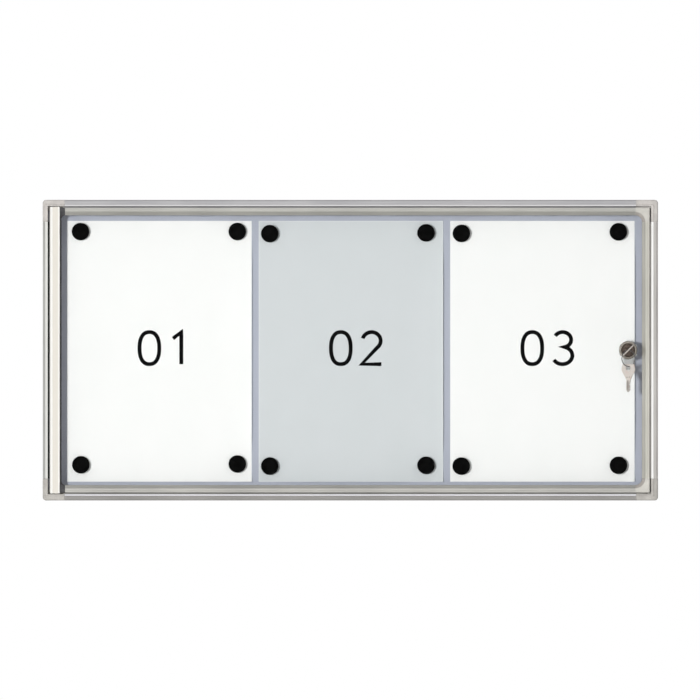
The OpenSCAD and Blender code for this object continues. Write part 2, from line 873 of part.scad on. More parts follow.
// Rotor: wide face, round body, and a square stub that carries the cam
module lock_rotor() {
  color("dimgray") at_lock() difference() {
    union() {
      rotate_extrude() polygon([
        [0, cam_front], [rotor_r - small_r / 2, cam_front], [rotor_r, cam_front + small_r / 2],
        [rotor_r, rotor_step_v], [rotor_face_r, rotor_step_v], [rotor_face_r, rotor_face_v - face_bevel],
        [rotor_face_r - face_bevel, rotor_face_v], [0, rotor_face_v]
      ]);
      slab(-stub_w / 2, stub_w / 2, -stub_w / 2, stub_w / 2, cam_rear, cam_front + over);
    }
    rotate([0, 0, key_tilt]) slab(-blade_w / 2 - keyway_fit, blade_w / 2 + keyway_fit,
      -key_t / 2 - keyway_fit, key_t / 2 + keyway_fit, rotor_face_v - keyway_deep, rotor_face_v + over);
    translate([0, 0, cam_rear - over])
      cylinder(r = cam_bolt_r + fixed_fit, h = over + cam_bolt_seat + fixed_fit);
  }
}

// Cam: a flat arm with a round tip and a square hole, pointing down while unlocked
module lock_cam() {
  tip = cam_reach - cam_w / 2;
  hole = stub_w / 2 + plug_fit;
  color("gainsboro") at_lock() translate([0, 0, cam_rear]) difference() {
    union() {
      cylinder(r = cam_hub_r, h = cam_t);
      translate([-cam_w / 2, -tip, 0]) cube([cam_w, tip, cam_t]);
      translate([0, -tip, 0]) cylinder(r = cam_w / 2, h = cam_t);
    }
    slab(-hole, hole, -hole, hole, -over, cam_t + over);
  }
}

// Bolt with a round head that holds the cam on the rotor
module cam_bolt() {
  color("gray") at_lock() translate([0, 0, cam_rear]) difference() {
    union() {
      cylinder(r = cam_bolt_r, h = cam_bolt_seat);
      rotate_extrude() polygon([
        [0, 0], [cam_bolt_head_r, 0], [cam_bolt_head_r, -cam_bolt_head_t / 2],
        [cam_bolt_head_r - small_r, -cam_bolt_head_t], [0, -cam_bolt_head_t]
      ]);
    }
    for (turn = [0, 90]) rotate([0, 0, turn])
      slab(-screw_slot / 2, screw_slot / 2, -cam_bolt_r, cam_bolt_r,
        -cam_bolt_head_t - over, -cam_bolt_head_t / 2);
  }
}

// Outline of a key's blade, its shoulder at Y = 0 and its tip below, cut on one edge
module blade_outline() {
  half = blade_w / 2;
  difference() {
    polygon([
      [-half, bow_neck_r], [-half, -blade_len + blade_tip], [-half + blade_tip / 2, -blade_len],
      [0, -blade_len], [half, -blade_len + blade_tip], [half, bow_neck_r]
    ]);
    for (k = [0:len(cut_place_shares) - 1]) {
      deep = cut_depth_shares[k] * blade_w;
      translate([half, -cut_place_shares[k] * blade_len])
        polygon([[over, -deep - over], [-deep, -deep / 4], [-deep, deep / 4], [over, deep + over]]);
    }
  }
}

// Outline of a key's bow: a broad shield that narrows towards the blade
module bow_outline() {
  hull() {
    for (m = [-1, 1]) {
      translate([m * (bow_corner_share * bow_w / 2 - bow_corner_r), bow_len - bow_corner_r])
        circle(bow_corner_r, $fn = 32);
      translate([m * (bow_w / 2 - bow_side_r), bow_side_share * bow_len]) circle(bow_side_r, $fn = 48);
    }
    translate([0, bow_neck_r]) circle(bow_neck_r, $fn = 32);
  }
}

// Key drawn flat: X across, Y from the shoulder towards the bow's end, Z through it
module key() {
  difference() {
    translate([0, 0, -key_t / 2]) {
      linear_extrude(key_t) bow_outline();
      linear_extrude(key_t) blade_outline();
    }
    translate([0, key_hole_t, -key_t]) cylinder(r = key_hole_r, h = 2 * key_t);
    // one milled groove along each face of the blade
    translate([-blade_w / 4 - groove_w / 2, -blade_len - over, key_t / 2 - groove_t])
      cube([groove_w, blade_len + over, key_t]);
    translate([blade_w / 8 - groove_w / 2, -blade_len - over, groove_t - 3 * key_t / 2])
      cube([groove_w, blade_len + over, key_t]);
  }
}

module lock_key() {
  color("silver") at_lock() translate([0, 0, key_shoulder_v]) rotate([0, 0, key_tilt])
    rotate([90, 0, 0]) key();
}

module key_ring() {
  color("gray") at_lock() translate([0, -ring_r, hole_v]) rotate([0, ring_turn, 0])
    rotate_extrude() translate([ring_r, 0]) circle(wire_r);
}

module spare_key() {
  color("silver") at_lock() translate([0, spare_hole_z, hole_v]) rotate([0, spare_turn, 0])
    translate([0, -key_hole_t, 0]) key();
}

frame_profile_left();
frame_profile_right();
frame_profile_top();
frame_profile_bottom();
corner_cap_top_left();
corner_cap_bottom_left();
corner_cap_top_right();
corner_cap_bottom_right();
back_panel();
wall_spacers();
door_seal();
hinge_side_seal();
hinge_pin_top();
hinge_pin_bottom();
lock_keeper();
keeper_screws();
sheet_left();
sheet_middle();
sheet_right();
magnets_left();
magnets_middle();
magnets_right();
hinge_stile();
door_rail_top();
door_rail_bottom();
lock_stile();
door_corner_top();
door_corner_bottom();
joint_block_top();
joint_block_bottom();
pane();
pane_gasket();
hinge_bush_top();
hinge_bush_bottom();
lock_housing();
lock_washers();
lock_nut();
lock_rotor();
lock_cam();
cam_bolt();
lock_key();
key_ring();
spare_key();
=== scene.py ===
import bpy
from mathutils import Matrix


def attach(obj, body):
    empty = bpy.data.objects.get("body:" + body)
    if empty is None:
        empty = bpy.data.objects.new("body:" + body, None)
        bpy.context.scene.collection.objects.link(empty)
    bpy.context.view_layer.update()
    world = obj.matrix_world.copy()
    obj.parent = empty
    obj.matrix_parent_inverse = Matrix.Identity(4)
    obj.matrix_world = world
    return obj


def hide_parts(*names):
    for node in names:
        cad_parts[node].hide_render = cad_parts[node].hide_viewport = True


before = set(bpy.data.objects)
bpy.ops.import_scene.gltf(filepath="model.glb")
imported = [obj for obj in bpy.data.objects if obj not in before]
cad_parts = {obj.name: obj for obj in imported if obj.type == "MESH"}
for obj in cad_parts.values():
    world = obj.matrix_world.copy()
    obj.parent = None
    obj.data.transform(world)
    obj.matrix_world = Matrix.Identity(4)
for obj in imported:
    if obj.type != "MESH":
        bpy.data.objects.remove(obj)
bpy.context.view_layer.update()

# FRAME PROFILES
# Four drawn aluminium profiles, satin anodised: a sloping outer face, a raised lip beside
# the door, a groove for the back panel and, on three sides, the stop that the door meets.
import math
import bmesh
import bpy
import numpy as np
from mathutils import Vector
from mathutils.geometry import tessellate_polygon

CASE_HALF_W, CASE_HALF_H, CASE_D = 350.0, 171.0, 30.0
CAP_ARM = 25.0
STOP_REAR, STOP_FRONT, STOP_REACH, STOP_SOFT = 16.0, 17.0, 5.0, 0.2
GROOVE_REAR, GROOVE_FRONT, GROOVE_DEEP = 3.9, 5.1, 3.0
FRAME_WALL = 1.2
FACES = {"left": 6.0, "right": 8.0, "top": 7.2, "bottom": 7.2}
LIP_WIDTHS = {"left": 3.2, "right": 3.1, "top": 1.86, "bottom": 1.86}
LIP_FALLS = {"left": 0.28, "right": 0.12, "top": 0.28, "bottom": 0.06}
EDGE_ROUNDS = {"left": 1.1, "right": 0.9, "top": 0.4, "bottom": 0.9}
SHARP_ANGLE, MERGED = math.radians(32), 2e-6


def in_world(x, z, depth):
    """The row frame's point, in metres: x across, z up, and depth forward from the wall, which is -Y."""
    x, z, depth = np.broadcast_arrays(x, z, depth)
    return np.stack([x, -depth, z], axis=-1).astype(float) / 1000


def arc(mid, r, start, end, steps):
    """Points of an arc about a middle between two angles in degrees; r is its radius, or the two
    half axes of an ellipse."""
    turn = np.radians(np.linspace(start, end, steps))
    return np.array(mid) + np.array(r) * np.stack([np.cos(turn), np.sin(turn)], 1)


def skin(loops):
    """Points and faces of closed loops, stations x points x 3, joined from station to station."""
    stations, points = loops.shape[:2]
    s, p = np.meshgrid(np.arange(stations - 1), np.arange(points), indexing="ij")
    q = (p + 1) % points
    quads = np.stack([s * points + p, s * points + q, (s + 1) * points + q, (s + 1) * points + p], -1)
    return loops.reshape(-1, 3), quads.reshape(-1, 4).tolist()


def end_faces(flat_loops, offsets):
    """Triangles that close an end: the flat outline less its holes, each loop's numbers starting
    at its offset."""
    numbers = np.concatenate([first + np.arange(len(loop)) for loop, first in zip(flat_loops, offsets)])
    points = [[Vector((x, y, 0)) for x, y in loop] for loop in flat_loops]
    return [[int(numbers[i]) for i in t] for t in tessellate_polygon(points)]


def carried(sections, place, stations, ends=None):
    """A profile carried along a path: every section's points go to place(points, station). The
    first section is the outline and the others are its hollows; both ends are closed, as the
    flat loops in ends where these differ from the sections."""
    verts, faces, first, last = [], [], [], []
    count = 0
    for section in sections:
        points, quads = skin(np.stack([place(section, station) for station in stations]))
        verts.append(points)
        faces += [[i + count for i in quad] for quad in quads]
        first.append(count)
        last.append(count + len(points) - len(section))
        count += len(points)
    faces += end_faces(ends or sections, first) + end_faces(ends or sections, last)
    return np.concatenate(verts), faces


def capped(loops, start, end):
    """The skin of one row of loops, its two ends closed as the flat outlines start and end."""
    verts, faces = skin(loops)
    return verts, faces + end_faces([start], [0]) + end_faces([end], [len(verts) - len(end)])


def shown(name, data):
    """A new object of that name, linked into the scene."""
    obj = bpy.data.objects.new(name, data)
    bpy.context.collection.objects.link(obj)
    return obj


def piece(name, parts, body, slot, nodes, material):
    """One finished object at the origin from (points, faces) parts: doubles merged, flat slivers
    dissolved and every shell's faces turned outwards, then sharp edges marked by their angle."""
    mesh = bpy.data.meshes.new(name)
    verts, faces, count = [], [], 0
    for points, corners in parts:
        verts.append(points)
        faces += [[i + count for i in face] for face in corners]
        count += len(points)
    mesh.from_pydata(np.concatenate(verts).tolist(), [], faces)
    work = bmesh.new()
    work.from_mesh(mesh)
    bmesh.ops.remove_doubles(work, verts=work.verts, dist=MERGED)
    bmesh.ops.dissolve_degenerate(work, edges=work.edges, dist=MERGED)
    bmesh.ops.recalc_face_normals(work, faces=work.faces)
    work.to_mesh(mesh)
    work.free()
    mesh.polygons.foreach_set("use_smooth", np.full(len(mesh.polygons), True))
    mesh.set_sharp_from_angle(angle=SHARP_ANGLE)
    mesh.materials.append(material)
    obj = shown(name, mesh)
    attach(obj, body)
    if nodes:
        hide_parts(*nodes)
    return obj


class Wire:
    """An output socket of a node, so that sums and products of it are written as plain maths."""

    def __init__(self, shading, socket):
        self.shading, self.socket = shading, socket

    def _math(self, operation, a, b):
        """A Math node of two wires or values."""
        return self.shading.node("ShaderNodeMath", {"operation": operation}, {0: a, 1: b})

    def __abs__(self):
        return self._math("ABSOLUTE", self, 0)

    def most(self, other):
        """The larger of the two."""
        return self._math("MAXIMUM", self, other)

    def ramp(self, low, high):
        """0 below low, 1 above high, smooth between them."""
        inputs = {"Value": self, "From Min": low, "From Max": high}
        return self.shading.node("ShaderNodeMapRange", {"interpolation_type": "SMOOTHSTEP"}, inputs)


OPERATORS = {"add": "ADD", "sub": "SUBTRACT", "mul": "MULTIPLY", "truediv": "DIVIDE", "pow": "POWER"}
for operator, operation in OPERATORS.items():
    setattr(Wire, f"__{operator}__", lambda self, other, kind=operation: self._math(kind, self, other))
    setattr(Wire, f"__r{operator}__", lambda self, other, kind=operation: self._math(kind, other, self))


class Shading:
    """A node tree put together node by node."""

    def __init__(self, tree):
        self.tree = tree

    def _fill(self, socket, value):
        """Links a wire to a socket, or gives the socket a value in the form that it takes."""
        if isinstance(value, Wire):
            self.tree.links.new(value.socket, socket)
        elif hasattr(socket.default_value, "__len__") and not hasattr(value, "__len__"):
            socket.default_value = [value] * len(socket.default_value)
        elif hasattr(value, "__len__") and len(socket.default_value) == 4 and len(value) == 3:
            socket.default_value = (*value, 1.0)
        else:
            socket.default_value = value

    def node(self, kind, settings=None, inputs=None, out=0):
        """A node of that kind, its settings first and then its sockets, by name or by number."""
        made = self.tree.nodes.new(kind)
        for key, value in (settings or {}).items():
            setattr(made, key, value)
        for key, value in (inputs or {}).items():
            named = made.inputs if isinstance(key, int) else {s.name: s for s in made.inputs if s.enabled}
            self._fill(named[key], value)
        return Wire(self, [s for s in made.outputs if s.enabled][out])

    def rays(self, *kinds):
        """For each kind of ray, 1 where a ray of that kind meets the surface."""
        path = self.tree.nodes.new("ShaderNodeLightPath")
        return [Wire(self, path.outputs[f"Is {kind} Ray"]) for kind in kinds]

    def show(self, share, one, other):
        """Shows one shader where the share is 0 and the other where it is 1."""
        mixed = self.node("ShaderNodeMixShader", None, {0: share, 1: one, 2: other})
        output = next(n for n in self.tree.nodes if n.bl_idname.startswith("ShaderNodeOutput"))
        self.tree.links.new(mixed.socket, output.inputs["Surface"])


class Finish(Shading):
    """A material on one Principled shader."""

    def __init__(self, name, **constants):
        self.material = bpy.data.materials.new(name)
        self.material.use_nodes = True
        super().__init__(self.material.node_tree)
        self.shader = self.tree.nodes["Principled BSDF"]
        for key, value in constants.items():
            self.set(key.replace("_", " "), value)
        where = self.tree.nodes.new("ShaderNodeTexCoord")
        self.object = Wire(self, where.outputs["Object"])
        self.own = Wire(self, self.shader.outputs["BSDF"])

    def set(self, name, value):
        """Gives a socket of the shader a value or links a wire to it."""
        self._fill(self.shader.inputs[name], value)

    def axis(self, name):
        """One coordinate of the piece, in metres."""
        return self.node("ShaderNodeSeparateXYZ", None, {0: self.object}, "XYZ".index(name))

    def forward(self):
        """How far a point lies forward from the wall, in millimetres."""
        return -1000 * self.axis("Y")

    def noise(self, size, detail=3.0, rough=0.5, stretch=(1, 1, 1)):
        """Cloudy noise from 0 to 1 with features about size metres across, longer along the axes
        whose stretch is larger."""
        scale = tuple(1 / s for s in stretch)
        moved = self.node("ShaderNodeMapping", None, {"Vector": self.object, "Scale": scale})
        inputs = {"Vector": moved, "Scale": 1 / size, "Detail": detail, "Roughness": rough}
        return self.node("ShaderNodeTexNoise", {"normalize": True}, inputs)

    def between(self, low, high, factor):
        """The colour low where factor is 0 and high where it is 1."""
        settings = {"data_type": "RGBA", "clamp_factor": True}
        return self.node("ShaderNodeMix", settings, {"Factor": factor, "A": low, "B": high})

    def tones(self, low, high, factor):
        """The same with two colours given as they show on a screen."""
        return self.between(seen(*low), seen(*high), factor)

    def done(self, colour, roughness, height, depth, strength):
        """The finished material; a height of 0 to 1 stands for depth metres of relief."""
        self.set("Base Color", colour)
        self.set("Roughness", roughness)
        inputs = {"Strength": strength, "Distance": depth, "Height": height}
        self.set("Normal", self.node("ShaderNodeBump", None, inputs))
        return self.material


def seen(red, green, blue):
    """A colour given as it shows on a screen, 0 to 255, turned into linear light."""
    part = np.array([red, green, blue]) / 255
    return tuple(np.where(part <= 0.04045, part / 12.92, ((part + 0.055) / 1.055) ** 2.4))


def drawn_aluminium(name, along, pale, dark, roughness=0.36, lip=None):
    """Satin anodised aluminium: long fine draw lines along one axis, cloudy tone, dull spots. A
    lip colour is a painted highlight laid on the lip's top, the foremost half millimetre of the frame."""
    long_axis = {"x": (60, 1, 1), "z": (1, 1, 60)}[along]
    finish = Finish(name, Metallic=0.82, IOR=1.5)
    lines = finish.noise(0.0009, 4.0, 0.6, long_axis)
    cloud = finish.noise(0.06, 2.0)
    dull = finish.noise(0.004, 5.0, 0.7)
    tone = 0.55 * lines + 0.45 * cloud
    colour = finish.tones(dark, pale, tone.ramp(0.3, 0.7))
    # Painted highlight: the lip's top is given the bright lip colour.
    if lip:
        colour = finish.between(colour, seen(*lip), finish.forward().ramp(CASE_D - 0.7, CASE_D - 0.4))
    rough = roughness + 0.16 * (lines - 0.5) + 0.1 * (dull - 0.5)
    return finish.done(colour, rough, lines, 0.00003, 0.6)


def frame_outline(side):
    """Points of a frame profile, x inward from its outer face and y forward from the wall: the
    side wall, a round edge, the sloping face, a fine groove, the lip, and down the inner wall."""
    face, stop, edge = FACES[side], side != "left", EDGE_ROUNDS[side]
    inner = face + (STOP_REACH if stop else 0)
    soft = STOP_SOFT if stop else 0
    lip = face - LIP_WIDTHS[side]
    return np.array([
        (0, 0), (0, 25.8), (0.12, 26.8), (0.5, 27.6), (1.1, 28.15), (1.9, 28.45),
        (lip - 0.34, 29.15), (lip - 0.26, 28.95), (lip - 0.12, 28.9), (lip - 0.02, 29.05),
        (lip, 29.45), (lip + 0.1, 29.63), (lip + 0.3, CASE_D - LIP_FALLS[side]), (face - edge, CASE_D),
        (face - 0.3 * edge, CASE_D - 0.25 * edge), (face, CASE_D - 0.875 * edge),
        (face, STOP_FRONT), (inner - soft, STOP_FRONT),
        (inner, STOP_FRONT - soft), (inner, STOP_REAR + soft), (inner - soft, STOP_REAR),
        (face, STOP_REAR), (face, GROOVE_FRONT), (face - GROOVE_DEEP, GROOVE_FRONT),
        (face - GROOVE_DEEP, GROOVE_REAR), (face, GROOVE_REAR), (face, 0),
    ])


def frame_hollow(face):
    """The hollow in front of the groove, with its corner cut under the round front edge."""
    lo, hi, rear = FRAME_WALL, face - FRAME_WALL, GROOVE_FRONT + FRAME_WALL
    return np.array([(lo, rear), (lo, 26.8), (lo + 0.7, 27.5), (hi, 27.7), (hi, rear)])


def to_side(side, inward, along):
    """Turns a distance in from a side's outer face, and one along it, into x and z."""
    x = {"left": inward - CASE_HALF_W, "right": CASE_HALF_W - inward}.get(side, along)
    z = {"bottom": inward - CASE_HALF_H, "top": CASE_HALF_H - inward}.get(side, along)
    return x, z


def side_place(side):
    """Carries a section of the frame along one side of it."""

    def place(section, along):
        """The section's points at one distance along."""
        x, z = to_side(side, section[:, 0], along)
        return in_world(x, z, section[:, 1])

    return place


def frame_profile(side, half_length, material):
    """One side of the frame from cap to cap."""
    sections = [frame_outline(side), frame_hollow(FACES[side])]
    made = carried(sections, side_place(side), (-half_length, half_length))
    piece("profile_" + side, [made], "case", "frame_aluminium", ["frame_profile_" + side], material)


DRAWN = {  # axis of the draw lines, pale and dark tone, and lip tone; the tones differ by side as painted light and shade, and the lip tone is a painted highlight
    "left": ("z", (220, 220, 216), (202, 202, 199), (232, 232, 228)),
    "right": ("z", (234, 230, 226), (216, 212, 209), (254, 253, 251)),
    "top": ("x", (196, 195, 196), (176, 175, 178), (228, 227, 228)),
    "bottom": ("x", (197, 195, 193), (177, 175, 173), (248, 248, 252)),
}
# The four sides share one aluminium; the left and right are given paler tones than the top and bottom as
# painted light and shade.
for side, (along, pale, dark, lip) in DRAWN.items():
    half_length = (CASE_HALF_H if along == "z" else CASE_HALF_W) - CAP_ARM
    drawn = drawn_aluminium("aluminium_drawn_" + side, along, pale, dark, lip=lip)
    frame_profile(side, half_length, drawn)

# CORNER CAPS
# Four moulded caps with a fine matt grain. Each carries the frame's outline round its corner
# and plugs into two profiles with a tongue; the two on the hinge side hold the hinge pins.
CORNER_R = 4.0
CAP_TONGUE = 16.0
TONGUE_FIT = 0.1
CAP_SEAM = 0.2
# Painted light and shade: the top caps are given a paler tone and the bottom caps a darker one of the same
# moulding.
CAP_LIT_AND_SHADED_TONES = {"top": ((208, 204, 200), (176, 172, 169)), "bottom": ((195, 192, 187), (164, 161, 157))}


def matt_grain(name, pale, dark, painted_shade_bevel=None):
    """Moulded surface: a fine even grain in the relief, faint cloud in the tone. A bevel colour
    is painted shade: a darker tone on the part which lies behind the door's flat front."""
    finish = Finish(name, Metallic=0.0, IOR=1.46)
    grain = finish.noise(0.0006, 3.0, 0.65)
    cloud = finish.noise(0.012, 4.0, 0.6)
    colour = finish.tones(dark, pale, (0.5 * grain + 0.5 * cloud).ramp(0.3, 0.7))
    # Painted shade: the bevel behind the door's flat front is given the darker bevel colour.
    if painted_shade_bevel:
        colour = finish.between(seen(*painted_shade_bevel), colour, finish.forward().ramp(28.5, 29.3))
    return finish.done(colour, 0.56 + 0.2 * (grain - 0.5) + 0.12 * (cloud - 0.5), grain, 0.00006, 0.5)


def cap_turn(side_section, rail_section, right, top):
    """Path round a corner: each pair of points of the two sections runs in from the side arm,
    turns on an ellipse about the corner's centre as far out as it lies, and leaves by the rail
    arm. Points deeper than the corner's radius meet in a mitre."""
    side_in, rail_in, depth = side_section[:, 0], rail_section[:, 0], side_section[:, 1]
    side_r, rail_r = np.maximum(CORNER_R - side_in, 0), np.maximum(CORNER_R - rail_in, 0)
    mid_x, mid_z = np.maximum(side_in, CORNER_R), np.maximum(rail_in, CORNER_R)
    flat = [(side_in, np.full_like(side_in, CAP_ARM - CAP_SEAM))]
    for turn in np.radians(np.linspace(0, 90, 10)):
        flat.append((mid_x - side_r * np.cos(turn), mid_z - rail_r * np.sin(turn)))
    flat.append((np.full_like(rail_in, CAP_ARM - CAP_SEAM), rail_in))
    sign_x, sign_z = (-1 if right else 1), (-1 if top else 1)
    return np.stack([
        in_world(sign_x * (x - CASE_HALF_W), sign_z * (z - CASE_HALF_H), depth) for x, z in flat
    ])


def corner_cap(vertical, side, material):
    """The outer shell round the corner, and a tongue into each of the two profiles."""
    right, top = side == "right", vertical == "top"
    side_section, rail_section = frame_outline(side), frame_outline(vertical)
    loops = cap_turn(side_section, rail_section, right, top)
    parts = [capped(loops, side_section, rail_section)]
    for where, edge in ((side, CASE_HALF_H), (vertical, CASE_HALF_W)):
        lo, hi = FRAME_WALL + TONGUE_FIT, FACES[where] - FRAME_WALL - TONGUE_FIT
        section = np.array([(lo, 6.5), (lo, 26.4), (lo + 0.8, 27.3), (hi, 27.5), (hi, 6.5)])
        sign = (1 if top else -1) if where == side else (1 if right else -1)
        ends = (sign * (edge - CAP_ARM + CAP_SEAM), sign * (edge - CAP_ARM - CAP_TONGUE))
        parts.append(carried([section], side_place(where), ends))
    node = f"corner_cap_{vertical}_{side}"
    piece(f"cap_{vertical}_{side}", parts, "case", "corner_plastic", [node], material)


for vertical in ("top", "bottom"):
    cap_grain = matt_grain("moulded_grey_" + vertical, *CAP_LIT_AND_SHADED_TONES[vertical])
    for side in ("left", "right"):
        corner_cap(vertical, side, cap_grain)

# BACK PANEL AND WALL SPACERS
# A steel sheet with a blue-grey powder coat lies in the profiles' grooves. Four nylon spacers
# sit in its round holes, stand on the wall and take the wall screws.
PANEL_PALE, PANEL_DARK = (182, 186, 200), (172, 176, 190)
NYLON_PALE, NYLON_DARK = (238, 237, 231), (222, 221, 214)


def dress(node, material):
    """A CAD node keeps its shape and shows in a new material."""
    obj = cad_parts[node]
    obj.data.materials.clear()
    obj.data.materials.append(material)


def powder_coat(name, pale, dark):
    """Powder coat: a fine orange peel, faint cloud, tiny paler flecks."""
    finish = Finish(name, IOR=1.5)
    peel = finish.noise(0.0011, 2.0, 0.5)
    cloud = finish.noise(0.09, 2.0)
    fleck = finish.noise(0.0006, 1.0).ramp(0.66, 0.72)
    tone = 0.6 * cloud + 0.25 * peel + 0.3 * fleck
    colour = finish.tones(dark, pale, tone)
    return finish.done(colour, 0.42 + 0.14 * (peel - 0.5) + 0.1 * (cloud - 0.5), peel, 0.00005, 0.5)


dress("back_panel", powder_coat("panel_powder_coat", PANEL_PALE, PANEL_DARK))


def nylon(name):
    """Natural nylon: milky, a little waxy, with faint flow marks."""
    finish = Finish(name, IOR=1.53, Subsurface_Weight=0.08)
    flow = finish.noise(0.003, 3.0, stretch=(1, 3, 1))
    colour = finish.tones(NYLON_DARK, NYLON_PALE, flow)
    return finish.done(colour, 0.4 + 0.15 * (flow - 0.5), flow, 0.00004, 0.4)


dress("wall_spacers", nylon("nylon_natural"))

# SEALS
# A flat rubber strip is glued on the door stop, a strip with a bulb stands in the gap beside
# the hinge stile, and a U-shaped gasket grips the pane's edge all round.


def rubber(name, dark, dusty):
    """Rubber: matt, dusted paler in patches, with a fine skin."""
    finish = Finish(name, IOR=1.5, Specular_IOR_Level=0.12)
    dust = finish.noise(0.012, 4.0, 0.6)
    skin_grain = finish.noise(0.0005, 2.0)
    colour = finish.tones(dark, dusty, dust.ramp(0.45, 0.85))
    return finish.done(colour, 0.72 + 0.2 * (skin_grain - 0.5), skin_grain, 0.00005, 0.5)


black_rubber = rubber("rubber_black", (5, 5, 6), (17, 17, 18))
for node in ("door_seal", "hinge_side_seal", "lock_washers"):
    dress(node, black_rubber)
dress("pane_gasket", rubber("rubber_grey", (72, 71, 73), (92, 91, 93)))

# HINGE PINS AND BUSHES
# Ground steel pins are pressed into the caps and turn in acetal bushes that plug the two ends
# of the hinge stile.


def ground_steel(name, pale, dark, roughness):
    """Bright steel with fine level lines and a little staining."""
    finish = Finish(name, Metallic=1.0)
    lines = finish.noise(0.0003, 3.0, 0.6, (30, 30, 1))
    stain = finish.noise(0.004, 4.0, 0.6)
    tone = 0.5 * lines + 0.5 * stain
    colour = finish.tones(dark, pale, tone.ramp(0.25, 0.75))
    rough = roughness + 0.15 * (lines - 0.5) + 0.15 * (stain - 0.5)
    return finish.done(colour, rough, lines, 0.00001, 0.5)


def acetal(name):
    """Dark acetal: smooth, faintly clouded."""
    finish = Finish(name, IOR=1.48)
    cloud = finish.noise(0.005, 4.0)
    colour = finish.tones((24, 24, 25), (52, 52, 54), cloud)
    return finish.done(colour, 0.34 + 0.2 * (cloud - 0.5), cloud, 0.00002, 0.3)


pin_steel = ground_steel("steel_ground", (206, 206, 208), (168, 168, 171), 0.26)
bush_acetal = acetal("acetal_dark")
for end in ("top", "bottom"):
    dress("hinge_pin_" + end, pin_steel)
    dress("hinge_bush_" + end, bush_acetal)

# KEEPER
# A bent plate, zinc plated, screwed to the lock side profile with two pan head screws. The
# cam turns behind it.


def zinc_plate(name, pale, dark):
    """Bright zinc: spangled in small flat patches, slightly blue and yellow, fine scratches."""
    finish = Finish(name, Metallic=1.0)
    inputs = {"Vector": finish.object, "Scale": 900.0}
    spangle = finish.node("ShaderNodeTexVoronoi", {"feature": "F1"}, inputs)
    cloud = finish.noise(0.006, 4.0, 0.6)
    tone = 0.4 * spangle + 0.6 * cloud
    colour = finish.tones(dark, pale, tone.ramp(0.25, 0.7))
    return finish.done(colour, 0.3 + 0.25 * (cloud - 0.5) + 0.1 * spangle, spangle, 0.00002, 0.3)


zinc = zinc_plate("zinc_plated", (244, 244, 243), (222, 223, 224))
for node in ("lock_keeper", "lock_cam", "lock_nut"):
    dress(node, zinc)
screw_zinc = zinc_plate("zinc_screws", (190, 189, 184), (148, 148, 147))
for node in ("keeper_screws", "cam_bolt"):
    dress(node, screw_zinc)

# SHEETS AND THEIR NUMBERS
# Three loose sheets lie side by side on the panel, the middle one light grey with a paler
# edge. Their free right and lower edges curl, and each has a plain black number at its middle.
SHEET_W, SHEET_H, SHEET_T, SHEET_REAR = 210.0, 297.0, 0.3, 5.0
SHEET_MIDS, SHEET_DROP = (-217.35, 0.65, 218.65), 1.3
PAPER_EDGE = 0.05
CURL, CURL_REACH, CURL_SPAN = 2.6, 32.0, 32.0
MAGNET_R = 10.0
MAGNET_PLACES = {  # shares of a sheet's width and height, from its middle
    "left": ((-0.428, 0.459), (0.422, 0.459), (-0.426, -0.435), (0.422, -0.432)),
    "middle": ((-0.440, 0.451), (0.407, 0.454), (-0.440, -0.440), (0.407, -0.437)),
    "right": ((-0.439, 0.452), (0.412, 0.458), (-0.440, -0.440), (0.412, -0.437)),
}
INK_T = 0.02
FIGURE_H, FIGURE_W, FIGURE_GAP, FIGURE_STEPS, STROKE = 41.0, 27.0, 8.0, 49, 4.5
NUMBER_RIGHT, NUMBER_UP = 6.0, 3.6


def paper(name, pale, dark, border=None):
    """Uncoated paper: short fibres in the relief and a very faint mottle; the grey sheet is
    paler within a few millimetres of its edge."""
    finish = Finish(name, IOR=1.4, Specular_IOR_Level=0.25)
    fibre = finish.noise(0.0007, 4.0, 0.65, (3, 1, 1))
    mottle = finish.noise(0.02, 3.0)
    colour = finish.tones(dark, pale, 0.35 * fibre + 0.65 * mottle)
    if border:
        across = abs(finish.axis("X") - border["mid"] / 1000) / (SHEET_W / 2000)
        upward = abs(finish.axis("Z") + SHEET_DROP / 1000) / (SHEET_H / 2000)
        from_x, from_z = 1 - border["width"] / SHEET_W, 1 - border["width"] / SHEET_H
        rim = across.ramp(from_x, 1).most(upward.ramp(from_z, 1))
        colour = finish.between(colour, seen(*border["tone"]), rim)
    return finish.done(colour, 0.86 + 0.12 * (fibre - 0.5), fibre, 0.00002, 0.4)


def rise(x, z):
    """How far a sheet stands off the panel between its magnets, in millimetres: a few long low
    waves, and nothing more than the sheet's own stiffness allows."""
    return PAPER_EDGE / 2 * (1 + np.sin(x / 41.0 + z / 57.0) * np.cos(z / 73.0))


def curl(x, z, mid, magnets):
    """How far the free right and lower edges of a sheet lift, in millimetres: by the square of
    the way into the last three centimetres, and not at all where a magnet holds the sheet."""
    right = np.clip(1 - (mid + SHEET_W / 2 - x) / CURL_REACH, 0, 1)
    lower = np.clip(1 - (z + SHEET_DROP + SHEET_H / 2) / CURL_REACH, 0, 1)
    free = 1.0
    for across, up in magnets:
        away = np.hypot(x - mid - across * SHEET_W, z + SHEET_DROP - up * SHEET_H) - MAGNET_R - 1
        share = np.clip(away / CURL_SPAN, 0, 1)
        free = free * share * share * (3 - 2 * share)
    return CURL * (right ** 2 + lower ** 2) * free


def grid_faces(rows, columns):
    """Four corners of each field of a grid, as numbers of its points."""
    r, c = np.meshgrid(np.arange(rows - 1), np.arange(columns - 1), indexing="ij")
    a = r * columns + c
    return np.stack([a, a + 1, a + columns + 1, a + columns], -1).reshape(-1, 4)


